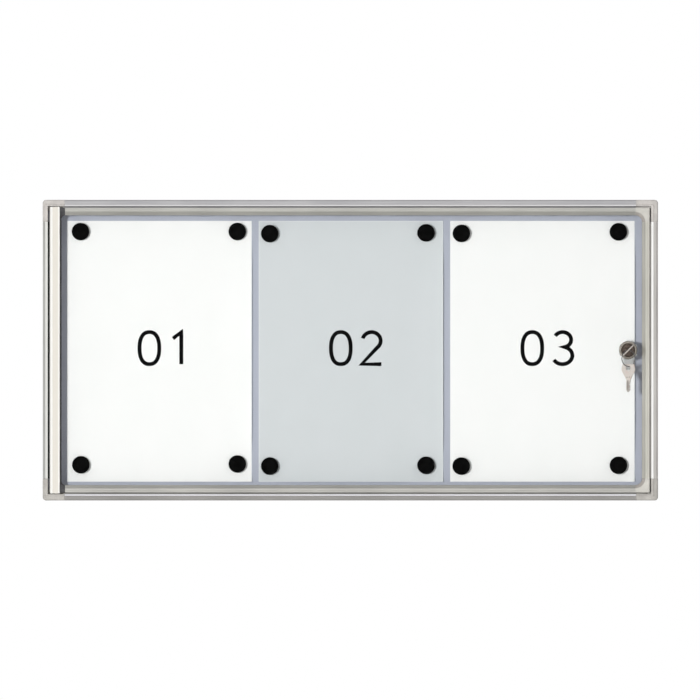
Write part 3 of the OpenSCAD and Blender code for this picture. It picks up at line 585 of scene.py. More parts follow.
def loose_sheet(mid, magnets):
    """Front and back of a sheet as one function of x and z, and the narrow edge between them."""
    across = np.linspace(-SHEET_W / 2, SHEET_W / 2, 43) + mid
    upward = np.linspace(-SHEET_H / 2, SHEET_H / 2, 61) - SHEET_DROP
    x, z = np.meshgrid(across, upward)
    lifted = SHEET_REAR + curl(x, z, mid, magnets)
    back = in_world(x, z, lifted + rise(x, z) * 0.5)
    front = in_world(x, z, lifted + SHEET_T - PAPER_EDGE + rise(x, z))
    faces = grid_faces(*x.shape)
    count = x.size
    number = np.arange(count).reshape(x.shape)
    rim = np.concatenate([number[0, :-1], number[:-1, -1], number[-1, :0:-1], number[:0:-1, 0]])
    after = np.roll(rim, -1)
    edge = np.stack([rim, after, after + count, rim + count], -1)
    verts = np.concatenate([back.reshape(-1, 3), front.reshape(-1, 3)])
    return verts, faces[:, ::-1].tolist() + (faces + count).tolist() + edge.tolist()


def figure_path(figure):
    """Middle line of a figure in a box of width and height 1, as one open or closed line."""
    if figure == "0":
        circle = arc((0, 0), 1, 0, 360, FIGURE_STEPS)
        return 0.5 + 0.5 * np.sign(circle) * abs(circle) ** 0.85
    if figure == "1":
        return np.array([(0.14, 0.80), (0.56, 1.0), (0.56, 0.97), (0.56, 0.0)])
    if figure == "2":
        bow = arc((0.5, 0.73), (0.46, 0.27), 165, -50, FIGURE_STEPS)
        return np.vstack([bow, [(0.0, 0.0), (1.0, 0.0)]])
    high = arc((0.48, 0.76), (0.43, 0.24), 150, -90, FIGURE_STEPS)
    low = arc((0.47, 0.27), (0.50, 0.27), 90, -150, FIGURE_STEPS)
    return np.vstack([high[:-6], [(0.42, 0.54)], low[3:]])


def stroke(points, closed):
    """A band of even width along a line: each point moves out to both sides along the mean
    normal of its two stretches, longer where they bend."""
    ahead = np.roll(points, -1, 0) - points
    if not closed:
        ahead[-1] = ahead[-2]
    ahead /= np.linalg.norm(ahead, axis=1)[:, None]
    behind = np.roll(ahead, 1, 0)
    if not closed:
        behind[0] = ahead[0]
    mean = ahead + behind
    mean /= np.linalg.norm(mean, axis=1)[:, None]
    reach = STROKE / 2 / np.clip((mean * ahead).sum(1), 0.55, 1)
    normal = np.stack([-mean[:, 1], mean[:, 0]], 1) * reach[:, None]
    return points + normal, points - normal


def plugged(loops):
    """The skin of one row of loops, with one flat face at each end."""
    verts, faces = skin(loops)
    count, total = loops.shape[1], len(verts)
    return verts, faces + [list(range(count)), list(range(total - 1, total - 1 - count, -1))]


def printed(figures, mid):
    """Ink of a number: each figure's band, laid on the sheet's front with a hair of thickness."""
    parts = []
    width = len(figures) * FIGURE_W + (len(figures) - 1) * FIGURE_GAP
    for k, figure in enumerate(figures):
        closed = figure == "0"
        line = figure_path(figure)
        line = line[:-1] if closed else line
        left = mid + NUMBER_RIGHT - width / 2 + k * (FIGURE_W + FIGURE_GAP)
        corner = np.array([left, NUMBER_UP - FIGURE_H / 2 - SHEET_DROP])
        room = np.array([FIGURE_W, FIGURE_H]) - STROKE
        outer, inner = stroke(corner + STROKE / 2 + line * room, closed)
        rings = []
        for flat in (outer, inner):
            level = SHEET_REAR + SHEET_T - PAPER_EDGE + rise(flat[:, 0], flat[:, 1])
            rings.append([in_world(flat[:, 0], flat[:, 1], level + lift) for lift in (0, INK_T)])
        around = np.stack([rings[0][0], rings[0][1], rings[1][1], rings[1][0]], 1)
        if closed:
            around = np.concatenate([around, around[:1]])
        parts.append(skin(around) if closed else plugged(around))
    return parts


def ink(name):
    """Printed black: a little thin in places, slightly duller than the paper is."""
    finish = Finish(name, IOR=1.45, Specular_IOR_Level=0.05)
    thin = finish.noise(0.0012, 4.0, 0.7)
    colour = finish.tones((8, 8, 9), (26, 26, 28), thin.ramp(0.5, 0.9))
    return finish.done(colour, 0.55 + 0.2 * (thin - 0.5), thin, 0.00001, 0.3)


white_paper = paper("paper_white", (250, 250, 250), (246, 246, 246))
middle_border = {"mid": SHEET_MIDS[1], "width": 3.0, "tone": (224, 227, 229)}
grey_paper = paper("paper_light_grey", (213, 217, 220), (208, 212, 215), middle_border)
black_ink = ink("ink_black")
for place_name, mid, slot, stock, number in (
    ("left", SHEET_MIDS[0], "sheet_white", white_paper, "01"),
    ("middle", SHEET_MIDS[1], "sheet_grey", grey_paper, "02"),
    ("right", SHEET_MIDS[2], "sheet_white", white_paper, "03"),
):
    made = loose_sheet(mid, MAGNET_PLACES[place_name])
    piece("loose_sheet_" + place_name, [made], "case", slot, ["sheet_" + place_name], stock)
    piece("sheet_number_" + place_name, printed(number, mid), "case", "magnet_black", [], black_ink)

# MAGNETS
# Twelve round magnets in black moulded caps, four to a sheet: a narrower foot on the sheet,
# a rounded rim, and a fine bead round the dished face.
MAGNET_T, MAGNET_REAR = 6.0, 5.3


def turned(profile, mid_x, mid_z, steps=64):
    """A profile of radius and depth spun about a line towards the viewer; a first or last radius
    of 0 closes the middle."""
    angle = np.linspace(0, 2 * np.pi, steps, endpoint=False)
    r, depth = profile[:, :1], profile[:, 1:]
    return skin(in_world(mid_x + r * np.cos(angle), mid_z + r * np.sin(angle), depth))


def magnet_profile():
    """From the middle of the rear out, round the rim by a quarter circle, over a bead, and in
    along a shallow dish."""
    rim = arc((MAGNET_R - 1.1, MAGNET_T - 1.1), 1.1, 0, 90, 8)
    bead = [(8.5, 6.0), (8.3, 5.92), (8.15, 5.78), (7.9, 5.72)]
    dish = np.array([(r, 5.68 - 0.13 * (1 - (r / 7.6) ** 2)) for r in (7.6, 6, 4, 2, 0)])
    rear = [(0, 0), (9.2, 0), (9.35, 0.12), (9.35, 0.7), (9.75, 0.75), (MAGNET_R, 1.0)]
    return np.vstack([rear, rim, bead, dish]) + [0, MAGNET_REAR]


def black_cap(name):
    """Black moulded plastic, satin: fine spark texture and a trace of dust."""
    finish = Finish(name, IOR=1.46, Specular_IOR_Level=0.06)
    spark = finish.noise(0.0004, 2.0)
    dust = finish.noise(0.003, 5.0, 0.7)
    colour = finish.tones((4, 4, 4), (16, 16, 16), dust.ramp(0.55, 0.9))
    return finish.done(colour, 0.5 + 0.2 * (spark - 0.5) + 0.1 * (dust - 0.5), spark, 0.00003, 0.4)


magnet_black = black_cap("plastic_black_satin")
for k, (place_name, places) in enumerate(MAGNET_PLACES.items()):
    caps = [
        turned(magnet_profile(), SHEET_MIDS[k] + across * SHEET_W, up * SHEET_H - SHEET_DROP, 72)
        for across, up in places
    ]
    nodes = ["magnets_" + place_name]
    piece("magnet_caps_" + place_name, caps, "case", "magnet_black", nodes, magnet_black)

# HINGE STILE
# The door's left profile, lacquered cream: a round edge about the hinge's axis, a shallow
# label channel between two edges with a painted highlight, and a slot for the pane.
DOOR_LEFT, DOOR_RIGHT, DOOR_TOP = -342.0, 340.4, 162.0
DOOR_REAR, DOOR_FRONT = 18.5, 29.5
STILE_W, STILE_END, HINGE_R = 11.5, 163.0, 3.2
SLOT_REAR, SLOT_FRONT, SLOT_DEEP, LIP_REAR = 21.5, 25.5, 4.6, 20.3
DOOR_WALL = 1.1
CHANNEL_LEFT, CHANNEL_RIGHT, CHANNEL_DEEP = 3.0, 9.3, 0.25


def stile_outline():
    """Points of the stile, x from its round edge inward and y forward from the wall."""
    edge = arc((HINGE_R, DOOR_FRONT - HINGE_R), HINGE_R, 180, 90, 12)
    right = arc((STILE_W - 0.8, DOOR_FRONT - 0.8), 0.8, 90, 0, 6)
    body, floor = STILE_W - SLOT_DEEP, DOOR_FRONT - CHANNEL_DEEP
    channel = [
        (CHANNEL_LEFT + 0.35, DOOR_FRONT), (CHANNEL_LEFT + 0.5, floor), (CHANNEL_RIGHT, floor),
        (CHANNEL_RIGHT + 0.15, DOOR_FRONT),
    ]
    inside = [
        (STILE_W, SLOT_FRONT), (body, SLOT_FRONT), (body, SLOT_REAR), (STILE_W, SLOT_REAR),
        (STILE_W, LIP_REAR), (body, LIP_REAR), (body, DOOR_REAR), (0, DOOR_REAR),
    ]
    return np.vstack([edge, channel, right, inside])


def stile_hollow():
    """The hollow in the stile's body, an even wall inside its round edge."""
    edge = arc((HINGE_R, DOOR_FRONT - HINGE_R), HINGE_R - DOOR_WALL, 180, 90, 6)
    right, rear = STILE_W - SLOT_DEEP - DOOR_WALL, DOOR_REAR + DOOR_WALL
    return np.vstack([edge, [(right, DOOR_FRONT - DOOR_WALL), (right, rear), (DOOR_WALL, rear)]])


def cream_lacquer(name):
    """Cream lacquer on aluminium: faint upright draw lines under it, a painted highlight that makes
    the two edges beside the label channel nearly white, and a slight unevenness in the gloss."""
    finish = Finish(name, IOR=1.5, Coat_Weight=0.08, Coat_Roughness=0.3)
    lines = finish.noise(0.0008, 3.0, stretch=(1, 1, 70))
    cloud = finish.noise(0.05, 3.0)
    body = finish.tones((212, 208, 199), (222, 218, 210), 0.5 * lines + 0.5 * cloud)
    x = finish.axis("X") * 1000 - DOOR_LEFT
    # Painted highlight: both edges beside the label channel are given a near-white tone.
    edge = (CHANNEL_LEFT + 0.5 - x).ramp(0, 0.3).most((x - CHANNEL_RIGHT).ramp(0, 0.3))
    colour = finish.between(body, seen(233, 232, 228), edge)
    return finish.done(colour, 0.4 + 0.12 * (lines - 0.5) + 0.1 * (cloud - 0.5), lines, 0.00002, 0.4)


def upright_from_left(section, along):
    """Carries the stile's section upwards at the door's left edge."""
    return in_world(DOOR_LEFT + section[:, 0], along, section[:, 1])


hinge_side = carried([stile_outline(), stile_hollow()], upright_from_left, (-STILE_END, STILE_END))
cream = cream_lacquer("lacquer_cream")
piece("stile_hinge_side", [hinge_side], "door", "stile_cream", ["hinge_stile"], cream)

# DOOR RAILS, LOCK STILE AND CORNER PIECES
# One drawn profile with a flat, a fine groove in it and a bevel down to the pane. On the lock
# side two moulded corner pieces carry it round: square outside, round inside.
RAIL_W, RAIL_BODY, BEVEL_LOW, GROOVE_DIP = 8.6, 4.0, 26.3, 0.22
CORNER_SIZE = 16.0
RAIL_LEFT, RAIL_RIGHT = -324.5, DOOR_RIGHT - CORNER_SIZE
LOCK_STILE_END = DOOR_TOP - CORNER_SIZE
DOOR_TONGUE, DOOR_FIT = 12.0, 0.1
DOOR_ENDS = (("bottom", -1), ("top", 1))


def rail_outline(dip):
    """Points of the door's profile, x inward from its outer edge and y forward from the wall,
    with a fine groove of depth dip in its flat."""
    return np.array([
        (0, DOOR_REAR), (0, 28.9), (0.1, 29.3), (0.4, DOOR_FRONT), (2.3, DOOR_FRONT),
        (2.4, DOOR_FRONT - dip), (2.65, DOOR_FRONT - dip), (2.75, DOOR_FRONT - dip / 3),
        (4.25, DOOR_FRONT - dip / 3), (4.75, 29.25), (5.85, 28.1), (7.1, 27.15), (8.35, 26.5),
        (RAIL_W, BEVEL_LOW - 0.15),
        (RAIL_W, SLOT_FRONT), (RAIL_BODY, SLOT_FRONT), (RAIL_BODY, SLOT_REAR), (RAIL_W, SLOT_REAR),
        (RAIL_W, LIP_REAR), (RAIL_BODY, LIP_REAR), (RAIL_BODY, DOOR_REAR),
    ])


def oblong(lo, hi, rear, front):
    """A section with square corners between two distances inward and two depths."""
    return np.array([(lo, rear), (lo, front), (hi, front), (hi, rear)])


def rail_hollow(fit=0.0):
    """The hollow in the profile's body, or a tongue that goes in with that much play."""
    wall = DOOR_WALL + fit
    return oblong(wall, RAIL_BODY - wall, DOOR_REAR + wall, DOOR_FRONT - wall)


def corner_turn(section, sign):
    """Path round a corner piece: a point that lies in from the outer edge turns about the round
    corner's centre; the outer wall's points turn ever tighter into the square corner."""
    inward, depth = section[:, 0], section[:, 1]
    r = np.where(inward >= RAIL_BODY, CORNER_SIZE - inward, inward * (CORNER_SIZE / RAIL_BODY - 1))
    flat = [(inward, np.full_like(inward, CORNER_SIZE))]
    for turn in np.radians(np.linspace(0, 90, 19)):
        flat.append((inward + r - r * np.cos(turn), inward + r - r * np.sin(turn)))
    flat.append((np.full_like(inward, CORNER_SIZE), inward))
    return np.stack([in_world(DOOR_RIGHT - x, sign * (DOOR_TOP - z), depth) for x, z in flat])


def rail_place(sign):
    """Carries a section of the door along its top, sign 1, or its bottom, sign -1."""
    return lambda section, along: in_world(along, sign * (DOOR_TOP - section[:, 0]), section[:, 1])


def lock_side_place(section, along):
    """Carries a section of the door upwards at its right edge."""
    return in_world(DOOR_RIGHT - section[:, 0], along, section[:, 1])


# The rails and the lock stile are one aluminium; the upright stile is given paler tones than the rails as
# painted light.
door_lying = drawn_aluminium("aluminium_door_across", "x", (204, 203, 197), (184, 183, 178), 0.34)
door_standing = drawn_aluminium("aluminium_door_upright", "z", (218, 216, 206), (200, 198, 189), 0.36)
# The corner pieces' bevel colour is painted shade.
door_grain = matt_grain("moulded_grey_door", (206, 204, 197), (184, 182, 176), painted_shade_bevel=(158, 153, 148))
rail_sections = [rail_outline(GROOVE_DIP), rail_hollow()]
plain_section, tongue_section = rail_outline(0), rail_hollow(DOOR_FIT)
for end, sign in DOOR_ENDS:
    rail = carried(rail_sections, rail_place(sign), (RAIL_LEFT, RAIL_RIGHT))
    piece("rail_" + end, [rail], "door", "frame_aluminium", ["door_rail_" + end], door_lying)
    across, upward = (RAIL_RIGHT - DOOR_TONGUE, RAIL_RIGHT), (LOCK_STILE_END - DOOR_TONGUE, LOCK_STILE_END)
    corner = [
        capped(corner_turn(plain_section, sign), plain_section, plain_section),
        carried([tongue_section], rail_place(sign), across),
        carried([tongue_section], lock_side_place, [sign * z for z in upward]),
    ]
    piece("corner_" + end, corner, "door", "corner_plastic", ["door_corner_" + end], door_grain)
lock_side = carried(rail_sections, lock_side_place, (-LOCK_STILE_END, LOCK_STILE_END))
piece("stile_lock_side", [lock_side], "door", "frame_aluminium", ["lock_stile"], door_standing)

# JOINT BLOCKS
# Dark moulded blocks join the rails to the hinge stile: the rail's outline with three low
# ribs across its front, a tongue in the rail and a lug in the stile's slot.
STILE_RIGHT = DOOR_LEFT + STILE_W
BLOCK_RIBS, RIB_DEEP, LUG_SIDE = 3, 0.35, 0.05


def block_place(sign):
    """Carries the rail's outline across the block; its front falls back between the ribs."""

    def place(section, along):
        """The section's points at one distance along."""
        share = (along - STILE_RIGHT) / (RAIL_LEFT - STILE_RIGHT)
        between = 0.5 - 0.5 * math.cos(2 * math.pi * BLOCK_RIBS * share)
        sunk = RIB_DEEP * between * np.clip((section[:, 1] - SLOT_FRONT) / 2, 0, 1)
        return in_world(along, sign * (DOOR_TOP - section[:, 0]), section[:, 1] - sunk)

    return place


block_plastic = matt_grain("moulded_dark", (82, 82, 84), (58, 58, 60))
lug = oblong(LUG_SIDE, RAIL_BODY, SLOT_REAR + DOOR_FIT, SLOT_FRONT - DOOR_FIT)
for end, sign in DOOR_ENDS:
    block = [
        carried([plain_section], block_place(sign), np.linspace(STILE_RIGHT, RAIL_LEFT, 25)),
        carried([tongue_section], rail_place(sign), (RAIL_LEFT, RAIL_LEFT + DOOR_TONGUE)),
        carried([lug], rail_place(sign), (STILE_RIGHT - SLOT_DEEP + DOOR_FIT, STILE_RIGHT)),
    ]
    piece("block_" + end, block, "door", "joint_plastic", ["joint_block_" + end], block_plastic)

# PANE
# Clear float glass, 3 mm, with a drilled hole for the lock: it lets the lamps through to the
# sheets, and mirrors a little.


def float_glass(name):
    """Clear glass for sight and for its own gloss; lamps and soft light pass straight through."""
    finish = Finish(name, IOR=1.45, Specular_IOR_Level=0.06, Transmission_Weight=1.0)
    smear = finish.noise(0.03, 4.0, 0.6, (1, 1, 3))
    finish.set("Base Color", finish.tones((250, 252, 251), (255, 255, 255), smear))
    finish.set("Roughness", 0.03 * smear.ramp(0.6, 0.9))
    shadow, soft = finish.rays("Shadow", "Diffuse")
    clear = finish.node("ShaderNodeBsdfTransparent", None, {"Color": (0.98, 0.985, 0.983)})
    finish.show(shadow.most(soft), finish.own, clear)
    return finish.material


dress("pane", float_glass("glass_clear"))

# LOCK
# A turned and nickelled housing is clamped in the pane's hole between soft washers. The
# rotor turns in it and carries the cam on a square, held by a bolt.
LOCK_X, LOCK_Z = 316.0, 0.0
BARREL_R, BARREL_REAR, BARREL_FLAT, NUT_REAR = 8.4, 14.3, 7.7, 18.5
RIM_R, RIM_REAR, RIM_FRONT, SHOULDER_R = 10.4, 25.5, 30.5, 1.1
FACE_BORE, BODY_BORE, BORE_STEP = 7.45, 6.45, 27.45


def housing_profile():
    """Once round the wall of the housing: threaded barrel, stepped rim with a bead and a round
    shoulder, a polished countersink, and the stepped bore."""
    ridges = np.arange(BARREL_REAR + 0.3, NUT_REAR - 0.6, 0.75)
    thread = [(BARREL_R - 0.3 * (k % 2), depth) for k, depth in enumerate(ridges)]
    shoulder_mid = (RIM_R - 0.35 - SHOULDER_R, RIM_FRONT - 0.25 - SHOULDER_R)
    shoulder = arc(shoulder_mid, SHOULDER_R, 0, 90, 7)
    rim = [
        (RIM_R - 0.3, RIM_REAR), (RIM_R, RIM_REAR + 0.3), (RIM_R, 27.1), (RIM_R - 0.1, 27.3),
        (RIM_R - 0.35, 27.45),
    ]
    front = [(8.75, RIM_FRONT - 0.2), (8.6, RIM_FRONT), (8.1, RIM_FRONT), (7.95, RIM_FRONT - 0.08)]
    bore = [
        (FACE_BORE, RIM_FRONT - 0.65), (FACE_BORE, BORE_STEP), (BODY_BORE, BORE_STEP),
        (BODY_BORE, BARREL_REAR), (BARREL_R - 0.3, BARREL_REAR),
    ]
    return np.vstack([thread, [(BARREL_R, NUT_REAR), (BARREL_R, RIM_REAR)], rim, shoulder, front, bore])


def turned_nickel(name, pale, dark, roughness):
    """Nickelled turned metal: fine rings about the lock's axis, faint stains, small dents."""
    finish = Finish(name, Metallic=1.0)
    x = finish.axis("X") - LOCK_X / 1000
    z = finish.axis("Z") - LOCK_Z / 1000
    radius = (x * x + z * z) ** 0.5
    spread = finish.node("ShaderNodeCombineXYZ", None, {0: radius, 1: finish.axis("Y")})
    inputs = {"Vector": spread, "Scale": 4500.0, "Detail": 3.0}
    rings = finish.node("ShaderNodeTexNoise", {"normalize": True}, inputs)
    stain = finish.noise(0.003, 5.0, 0.65)
    tone = 0.4 * rings + 0.6 * stain
    colour = finish.tones(dark, pale, tone.ramp(0.3, 0.7))
    rough = roughness + 0.12 * (rings - 0.5) + 0.16 * (stain - 0.5)
    return finish.done(colour, rough, 0.7 * rings + 0.3 * stain, 0.00003, 0.5)


wall = housing_profile()
verts, faces = turned(np.vstack([wall, wall[:1]]), LOCK_X, LOCK_Z, 96)
behind_nut = -verts[:, 1] * 1000 < NUT_REAR - 0.05
flat_left, flat_right = (LOCK_X - BARREL_FLAT) / 1000, (LOCK_X + BARREL_FLAT) / 1000
verts[:, 0] = np.where(behind_nut, np.clip(verts[:, 0], flat_left, flat_right), verts[:, 0])
nickel = turned_nickel("nickel_turned", (188, 182, 173), (138, 132, 123), 0.2)
piece("housing_turned", [(verts, faces)], "door", "lock_nickel", ["lock_housing"], nickel)
dress("lock_rotor", turned_nickel("nickel_dark", (122, 109, 99), (58, 50, 46), 0.28))

# KEYS AND RING
# Two flat keys stamped from nickelled brass: a shield bow with a hole, a cut and grooved
# blade. One is in the lock, the other hangs below it on a split ring of flat spring wire.
KEY_T, KEY_BEVEL = 1.3, 0.22
BOW_LEN, BOW_W, HOLE_R, HOLE_UP = 18.6, 16.2, 2.7, 13.8
BLADE_LEN, BLADE_W, BLADE_TIP = 13.4, 4.8, 2.6
BOW_CORNER_R, BOW_SIDE_R = 1.4, 4.2
SHOULDER_V, HOLE_V, KEY_TILT = 30.8, 44.6, math.radians(45)
SPARE_Z, SPARE_TURN = -20.45, math.radians(-16)
CUTS = ((0.2, 0.2), (0.36, 0.32), (0.52, 0.16), (0.68, 0.26))  # place and depth, as shares
RING_R, RING_TURN, WIRE_HALF_W, WIRE_HALF_T, LAYER = 9.3, math.radians(36), 0.42, 0.23, 0.24
SPLIT_AT, SPLIT_TURN = math.radians(150), 0.42
KEY_MAP = 40.0


def key_outline():
    """Once round a key, anticlockwise: up the cut edge of the blade, round the shield bow by
    arcs of its corners and sides, and down the plain edge to the tip."""
    half, tip = BLADE_W / 2, BLADE_TIP
    blade = [(0, -BLADE_LEN), (half, -BLADE_LEN + tip)]
    for share, deep in CUTS[::-1]:
        at, d = -share * BLADE_LEN, deep * BLADE_W
        blade += [(half, at - 0.75 * d), (half - d, at - d / 4), (half - d, at + d / 4)]
        blade.append((half, at + 0.75 * d))
    corner_x, corner_z = 0.9 * BOW_W / 2 - BOW_CORNER_R, BOW_LEN - BOW_CORNER_R
    side_x, side_z = BOW_W / 2 - BOW_SIDE_R, 0.66 * BOW_LEN
    bow = [
        arc((side_x, side_z), BOW_SIDE_R, -36, 6, 10),
        arc((corner_x, corner_z), BOW_CORNER_R, 12, 90, 8),
        arc((-corner_x, corner_z), BOW_CORNER_R, 90, 168, 8),
        arc((-side_x, side_z), BOW_SIDE_R, 174, 216, 10),
    ]
    plain = [(-half, 0.6), (-half, -BLADE_LEN + tip), (-half + tip / 2, -BLADE_LEN)]
    return np.vstack([blade, [(half, 0.6)], *bow, plain])


def inset(outline, by):
    """The outline moved in along its mean normals, for the bevel of a stamped edge."""
    ahead = np.roll(outline, -1, 0) - outline
    ahead /= np.linalg.norm(ahead, axis=1)[:, None]
    mean = ahead + np.roll(ahead, 1, 0)
    mean /= np.linalg.norm(mean, axis=1)[:, None]
    return outline + by * np.stack([-mean[:, 1], mean[:, 0]], 1)


def flat_key(place):
    """The outline and the hole carried through the key's thickness, both drawn in at the faces
    for the bevel; place turns key points into the row frame."""
    loops = [key_outline(), arc((0, HOLE_UP), HOLE_R, 360, 0, 41)[:-1]]
    bevel_share = KEY_BEVEL / KEY_T
    levels = ((-0.5, 1), (-0.5 + bevel_share, 0), (0.5 - bevel_share, 0), (0.5, 1))

    def at_level(loop, level):
        """A loop at a level: its share of the thickness, and how far the bevel draws it in."""
        share, drawn_in = level
        return np.column_stack([inset(loop, KEY_BEVEL * drawn_in), np.full(len(loop), share * KEY_T)])

    plan, faces = carried(loops, at_level, levels, [inset(loop, KEY_BEVEL) for loop in loops])
    return place(plan), faces, plan


def swung(a, b, angle):
    """Two coordinates turned about their origin, from the first towards the second."""
    c, s = math.cos(angle), math.sin(angle)
    return a * c - b * s, a * s + b * c


def in_lock(p):
    """Stands a key on the rotor, its bow towards the viewer, turned by the lock's tilt."""
    x, z = swung(p[:, 0], -p[:, 2], KEY_TILT)
    return in_world(LOCK_X + x, z, p[:, 1] + SHOULDER_V)


def hanging(p):
    """Hangs a key by its hole below the ring, turned a little about the upright."""
    x, depth = swung(p[:, 0], p[:, 2], -SPARE_TURN)
    return in_world(LOCK_X + x, p[:, 1] - HOLE_UP + SPARE_Z, HOLE_V + depth)


def stamped_nickel(name):
    """Nickelled brass in the key's own map: lengthwise polish lines, painted shade in two stamped
    ticks at the foot of the bow and in a milled groove along the blade, grime along the blade,
    and a rosy tone where the plating is thin."""
    finish = Finish(name, Metallic=0.92)
    plan = finish.node("ShaderNodeUVMap", {"uv_map": "key_plan"})
    u, v = [
        (finish.node("ShaderNodeSeparateXYZ", None, {0: plan}, axis) - 0.5) * KEY_MAP for axis in (0, 1)
    ]
    stretched = finish.node("ShaderNodeCombineXYZ", None, {0: u * 4.0, 1: v * 0.3})
    inputs = {"Vector": stretched, "Scale": 3.0, "Detail": 3.0}
    lines = finish.node("ShaderNodeTexNoise", {"normalize": True}, inputs)
    thin = finish.noise(0.004, 4.0, 0.6)
    plated = finish.tones((205, 196, 188), (226, 220, 214), lines)
    plated = finish.between(plated, seen(214, 192, 182), 0.7 * thin.ramp(0.5, 0.8))
    tick = (0.95 - abs(abs(u) - 1.35)).ramp(0, 0.25) * (0.34 - abs(v - 3.6 - 0.25 * u * 0.3)).ramp(0, 0.15)
    grime = (0.6 - v).ramp(0, 4) * (0.35 + 0.5 * thin)
    on_blade = (0.3 - v).ramp(0, 0.6) * (v + BLADE_LEN - 2.2).ramp(0, 0.6)
    groove = (0.55 - abs(u + 0.5)).ramp(0, 0.2) * on_blade
    # Darkening: painted shade in the ticks and the groove, grime along the blade.
    grime_and_painted_shade = (tick * 0.9).most(grime * 0.55).most(groove * 0.8)
    colour = finish.between(plated, seen(74, 68, 64), grime_and_painted_shade)
    rough = 0.3 + 0.15 * (lines - 0.5) + 0.25 * tick + 0.1 * (thin - 0.5)
    return finish.done(colour, rough, 0.3 * lines + 0.3 * (1 - tick) + 0.4 * (1 - groove), 0.00012, 0.5)


def key_piece(name, place, body, node, material):
    """A key with its own map: each corner takes the plan place of the nearest made point."""
    verts, faces, plan = flat_key(place)
    obj = piece(name, [(verts, faces)], body, "key_nickel", [node], material)
    mesh = obj.data
    layer = mesh.uv_layers.new(name="key_plan")
    count = len(mesh.loops)
    corner, points = np.empty(count, int), np.empty(len(mesh.vertices) * 3)
    mesh.loops.foreach_get("vertex_index", corner)
    mesh.vertices.foreach_get("co", points)
    gap = np.linalg.norm(points.reshape(-1, 1, 3) - verts[None], axis=2)
    flat = plan[gap.argmin(1)][:, :2] / KEY_MAP + 0.5
    layer.data.foreach_set("uv", flat[corner].astype(np.float32).ravel())


key_nickel = stamped_nickel("nickel_stamped")
key_piece("key_in_lock", in_lock, "key", "lock_key", key_nickel)
key_piece("key_hanging", hanging, "spare", "spare_key", key_nickel)


def split_ring():
    """Flat wire wound almost twice round: a helix whose two layers change over near the split,
    its section an oval, turned about the upright by the ring's angle."""
    a = np.linspace(SPLIT_TURN, 4 * np.pi - SPLIT_TURN, 220)
    change = np.clip((a - 2 * np.pi) / (2 * SPLIT_TURN) + 0.5, 0, 1)
    layer = LAYER * (2 * change * change * (3 - 2 * change) - 1)
    oval = arc((RING_R, 0), (WIRE_HALF_W, WIRE_HALF_T), 0, 360, 13)[:-1]
    r, h = oval[None, :, 0], layer[:, None] + oval[None, :, 1]
    start = a[:, None] + SPLIT_AT
    x, depth = swung(r * np.cos(start), h, -RING_TURN)
    return plugged(in_world(LOCK_X + x, r * np.sin(start) - RING_R, HOLE_V + depth))


spring_wire = ground_steel("steel_spring_wire", (176, 176, 177), (112, 112, 114), 0.22)
piece("ring_split", [split_ring()], "ring", "ring_wire", ["key_ring"], spring_wire)

# STUDIO
# A pale floor well below the case, white all round for sight, a lamp from the left, weaker ones
# from the front and behind, grey flags that only gloss sees, and a far camera with a long lens.
FLOOR_Z, FLOOR_HALF = -0.75, 3.0
FLOOR_TONE, FLOOR_EVEN, FLOOR_GLOSS = (244, 244, 243), 0.5, 0.15
CARD_Y, CARD_HALF_W, CARD_HALF_H = -22.0, 0.72, 0.36
FLAG_X, FLAG_Z, FLAG_NEAR, FLAG_FAR, FLAG_RIGHT_FAR = 1.6, 1.5, 0.3, -0.85, -1.7
SOFT_SKY, WHITE_SKY = ((1, 0.985, 0.975), 0.36), ((1, 1, 1), 1.0)
SEEN_RAYS = ("Camera", "Transmission", "Glossy")
LAMPS = {  # place, width, watts and colour
    "lamp_left": ((-2.7, -7.4, 0.3), 0.9, 440, (1.0, 0.998, 0.99)),
    "lamp_front": ((0.6, -7.5, 0.3), 1.5, 50, (1.0, 0.995, 0.985)),
    "lamp_behind": ((1.6, 7.2, 0.9), 2.5, 270, (1.0, 0.995, 0.985)),
}
CAMERA_AWAY, SENSOR, SEEN_WIDTH, FRONT_AT = 20.0, 36.0, 0.7962, 0.028
CAMERA_X, CAMERA_Z = -0.00041, 0.00017


def screen(name, corners, material):
    """A flat piece of the studio, from its four corners."""
    mesh = bpy.data.meshes.new(name)
    mesh.from_pydata(corners, [], [(0, 1, 2, 3)])
    mesh.materials.append(material)
    obj = shown(name, mesh)
    return obj


def oblong_round(half_w, half_h):
    """Corners of an oblong about a middle."""
    return [(-half_w, -half_h), (half_w, -half_h), (half_w, half_h), (-half_w, half_h)]


def pale_floor(name):
    """A matt floor that is seen about half by its own shading, with the shadows on it, and half
    as an even pale tone; gloss sees less of that tone than sight and glass do."""
    finish = Finish(name, IOR=1.45, Roughness=0.9, Specular_IOR_Level=0.2)
    mottle = finish.noise(0.4, 3.0)
    finish.set("Base Color", finish.tones((236, 236, 235), (242, 242, 241), mottle))
    sight, glass, gloss = finish.rays(*SEEN_RAYS)
    even = finish.node("ShaderNodeEmission", None, {"Color": seen(*FLOOR_TONE), "Strength": 1.0})
    share = FLOOR_EVEN * sight.most(glass).most(FLOOR_GLOSS * gloss)
    finish.show(share, finish.own, even)
    return finish.material


floor_corners = [(x, y, FLOOR_Z) for x, y in oblong_round(FLOOR_HALF, FLOOR_HALF)]
screen("floor", floor_corners, pale_floor("floor_pale"))

world = bpy.data.worlds.new("studio")
bpy.context.scene.world = world
world.use_nodes = True
world.node_tree.nodes.clear()
world.node_tree.nodes.new("ShaderNodeOutputWorld")
sky = Shading(world.node_tree)
sight, glass, gloss = sky.rays(*SEEN_RAYS)
soft, white = [
    sky.node("ShaderNodeBackground", None, {"Color": tone, "Strength": strength})
    for tone, strength in (SOFT_SKY, WHITE_SKY)
]
sky.show(sight.most(gloss).most(glass), soft, white)


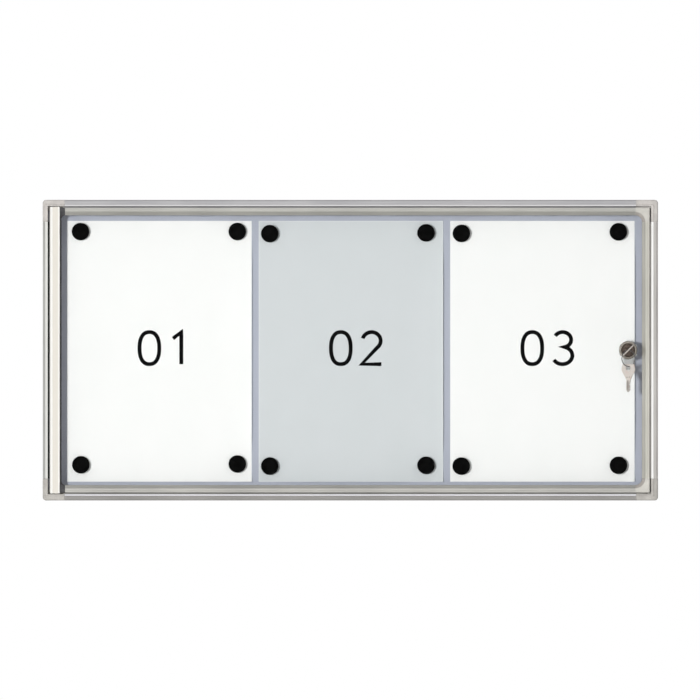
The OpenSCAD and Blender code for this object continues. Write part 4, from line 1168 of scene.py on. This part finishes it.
def lamp(name, place, size, watts, colour):
    """A square soft lamp that faces the case; gloss and glass don't mirror it."""
    data = bpy.data.lights.new(name, "AREA")
    data.size, data.energy, data.color = size, watts, colour
    obj = shown(name, data)
    obj.location = place
    obj.rotation_euler = (-Vector(place)).to_track_quat("-Z", "Y").to_euler()
    obj.visible_glossy = obj.visible_transmission = False


for name, settings in LAMPS.items():
    lamp(name, *settings)


def flag(name, corners, tone, through_glass=False):
    """A grey cloth that gloss sees and, if wanted, also the light inside the glass."""
    cloth = Finish(name + "_cloth", Roughness=1.0, Specular_IOR_Level=0.0, Emission_Strength=1.0)
    weave = cloth.noise(0.5)
    cloth.set("Base Color", cloth.between((0.01, 0.01, 0.01), (0.02, 0.02, 0.02), weave))
    cloth.set("Emission Color", cloth.between([tone * 0.96] * 3, [tone * 1.04] * 3, weave))
    obj = screen(name, corners, cloth.material)
    obj.visible_camera = obj.visible_diffuse = obj.visible_shadow = False
    obj.visible_transmission = through_glass


for side, x, far, tone in (("left", -FLAG_X, FLAG_FAR, 0.45), ("right", FLAG_X, FLAG_RIGHT_FAR, 0.15)):
    low = [(x, FLAG_NEAR, FLOOR_Z), (x, far, FLOOR_Z)]
    flag("flag_" + side, low + [(x, far, FLAG_Z), (x, FLAG_NEAR, FLAG_Z)], tone)
overhead = [(-FLAG_X, FLAG_NEAR, FLAG_Z), (-FLAG_X, FLAG_FAR, FLAG_Z)]
overhead += [(FLAG_X, FLAG_FAR, FLAG_Z), (FLAG_X, FLAG_NEAR, FLAG_Z)]
flag("flag_above", overhead, 0.35)
card = [(x, CARD_Y, z) for x, z in oblong_round(CARD_HALF_W, CARD_HALF_H)]
flag("flag_behind_camera", card, 0.01, through_glass=True)

eye = bpy.data.cameras.new("camera")
eye.sensor_width, eye.clip_end = SENSOR, 60
eye.lens = SENSOR * (CAMERA_AWAY - FRONT_AT) / SEEN_WIDTH
eye.dof.use_dof = False
camera = shown("camera", eye)
camera.location = (CAMERA_X, -CAMERA_AWAY, CAMERA_Z)
camera.rotation_euler = (math.radians(90), 0, 0)
bpy.context.scene.camera = camera
bpy.context.scene.view_settings.view_transform = "Standard"
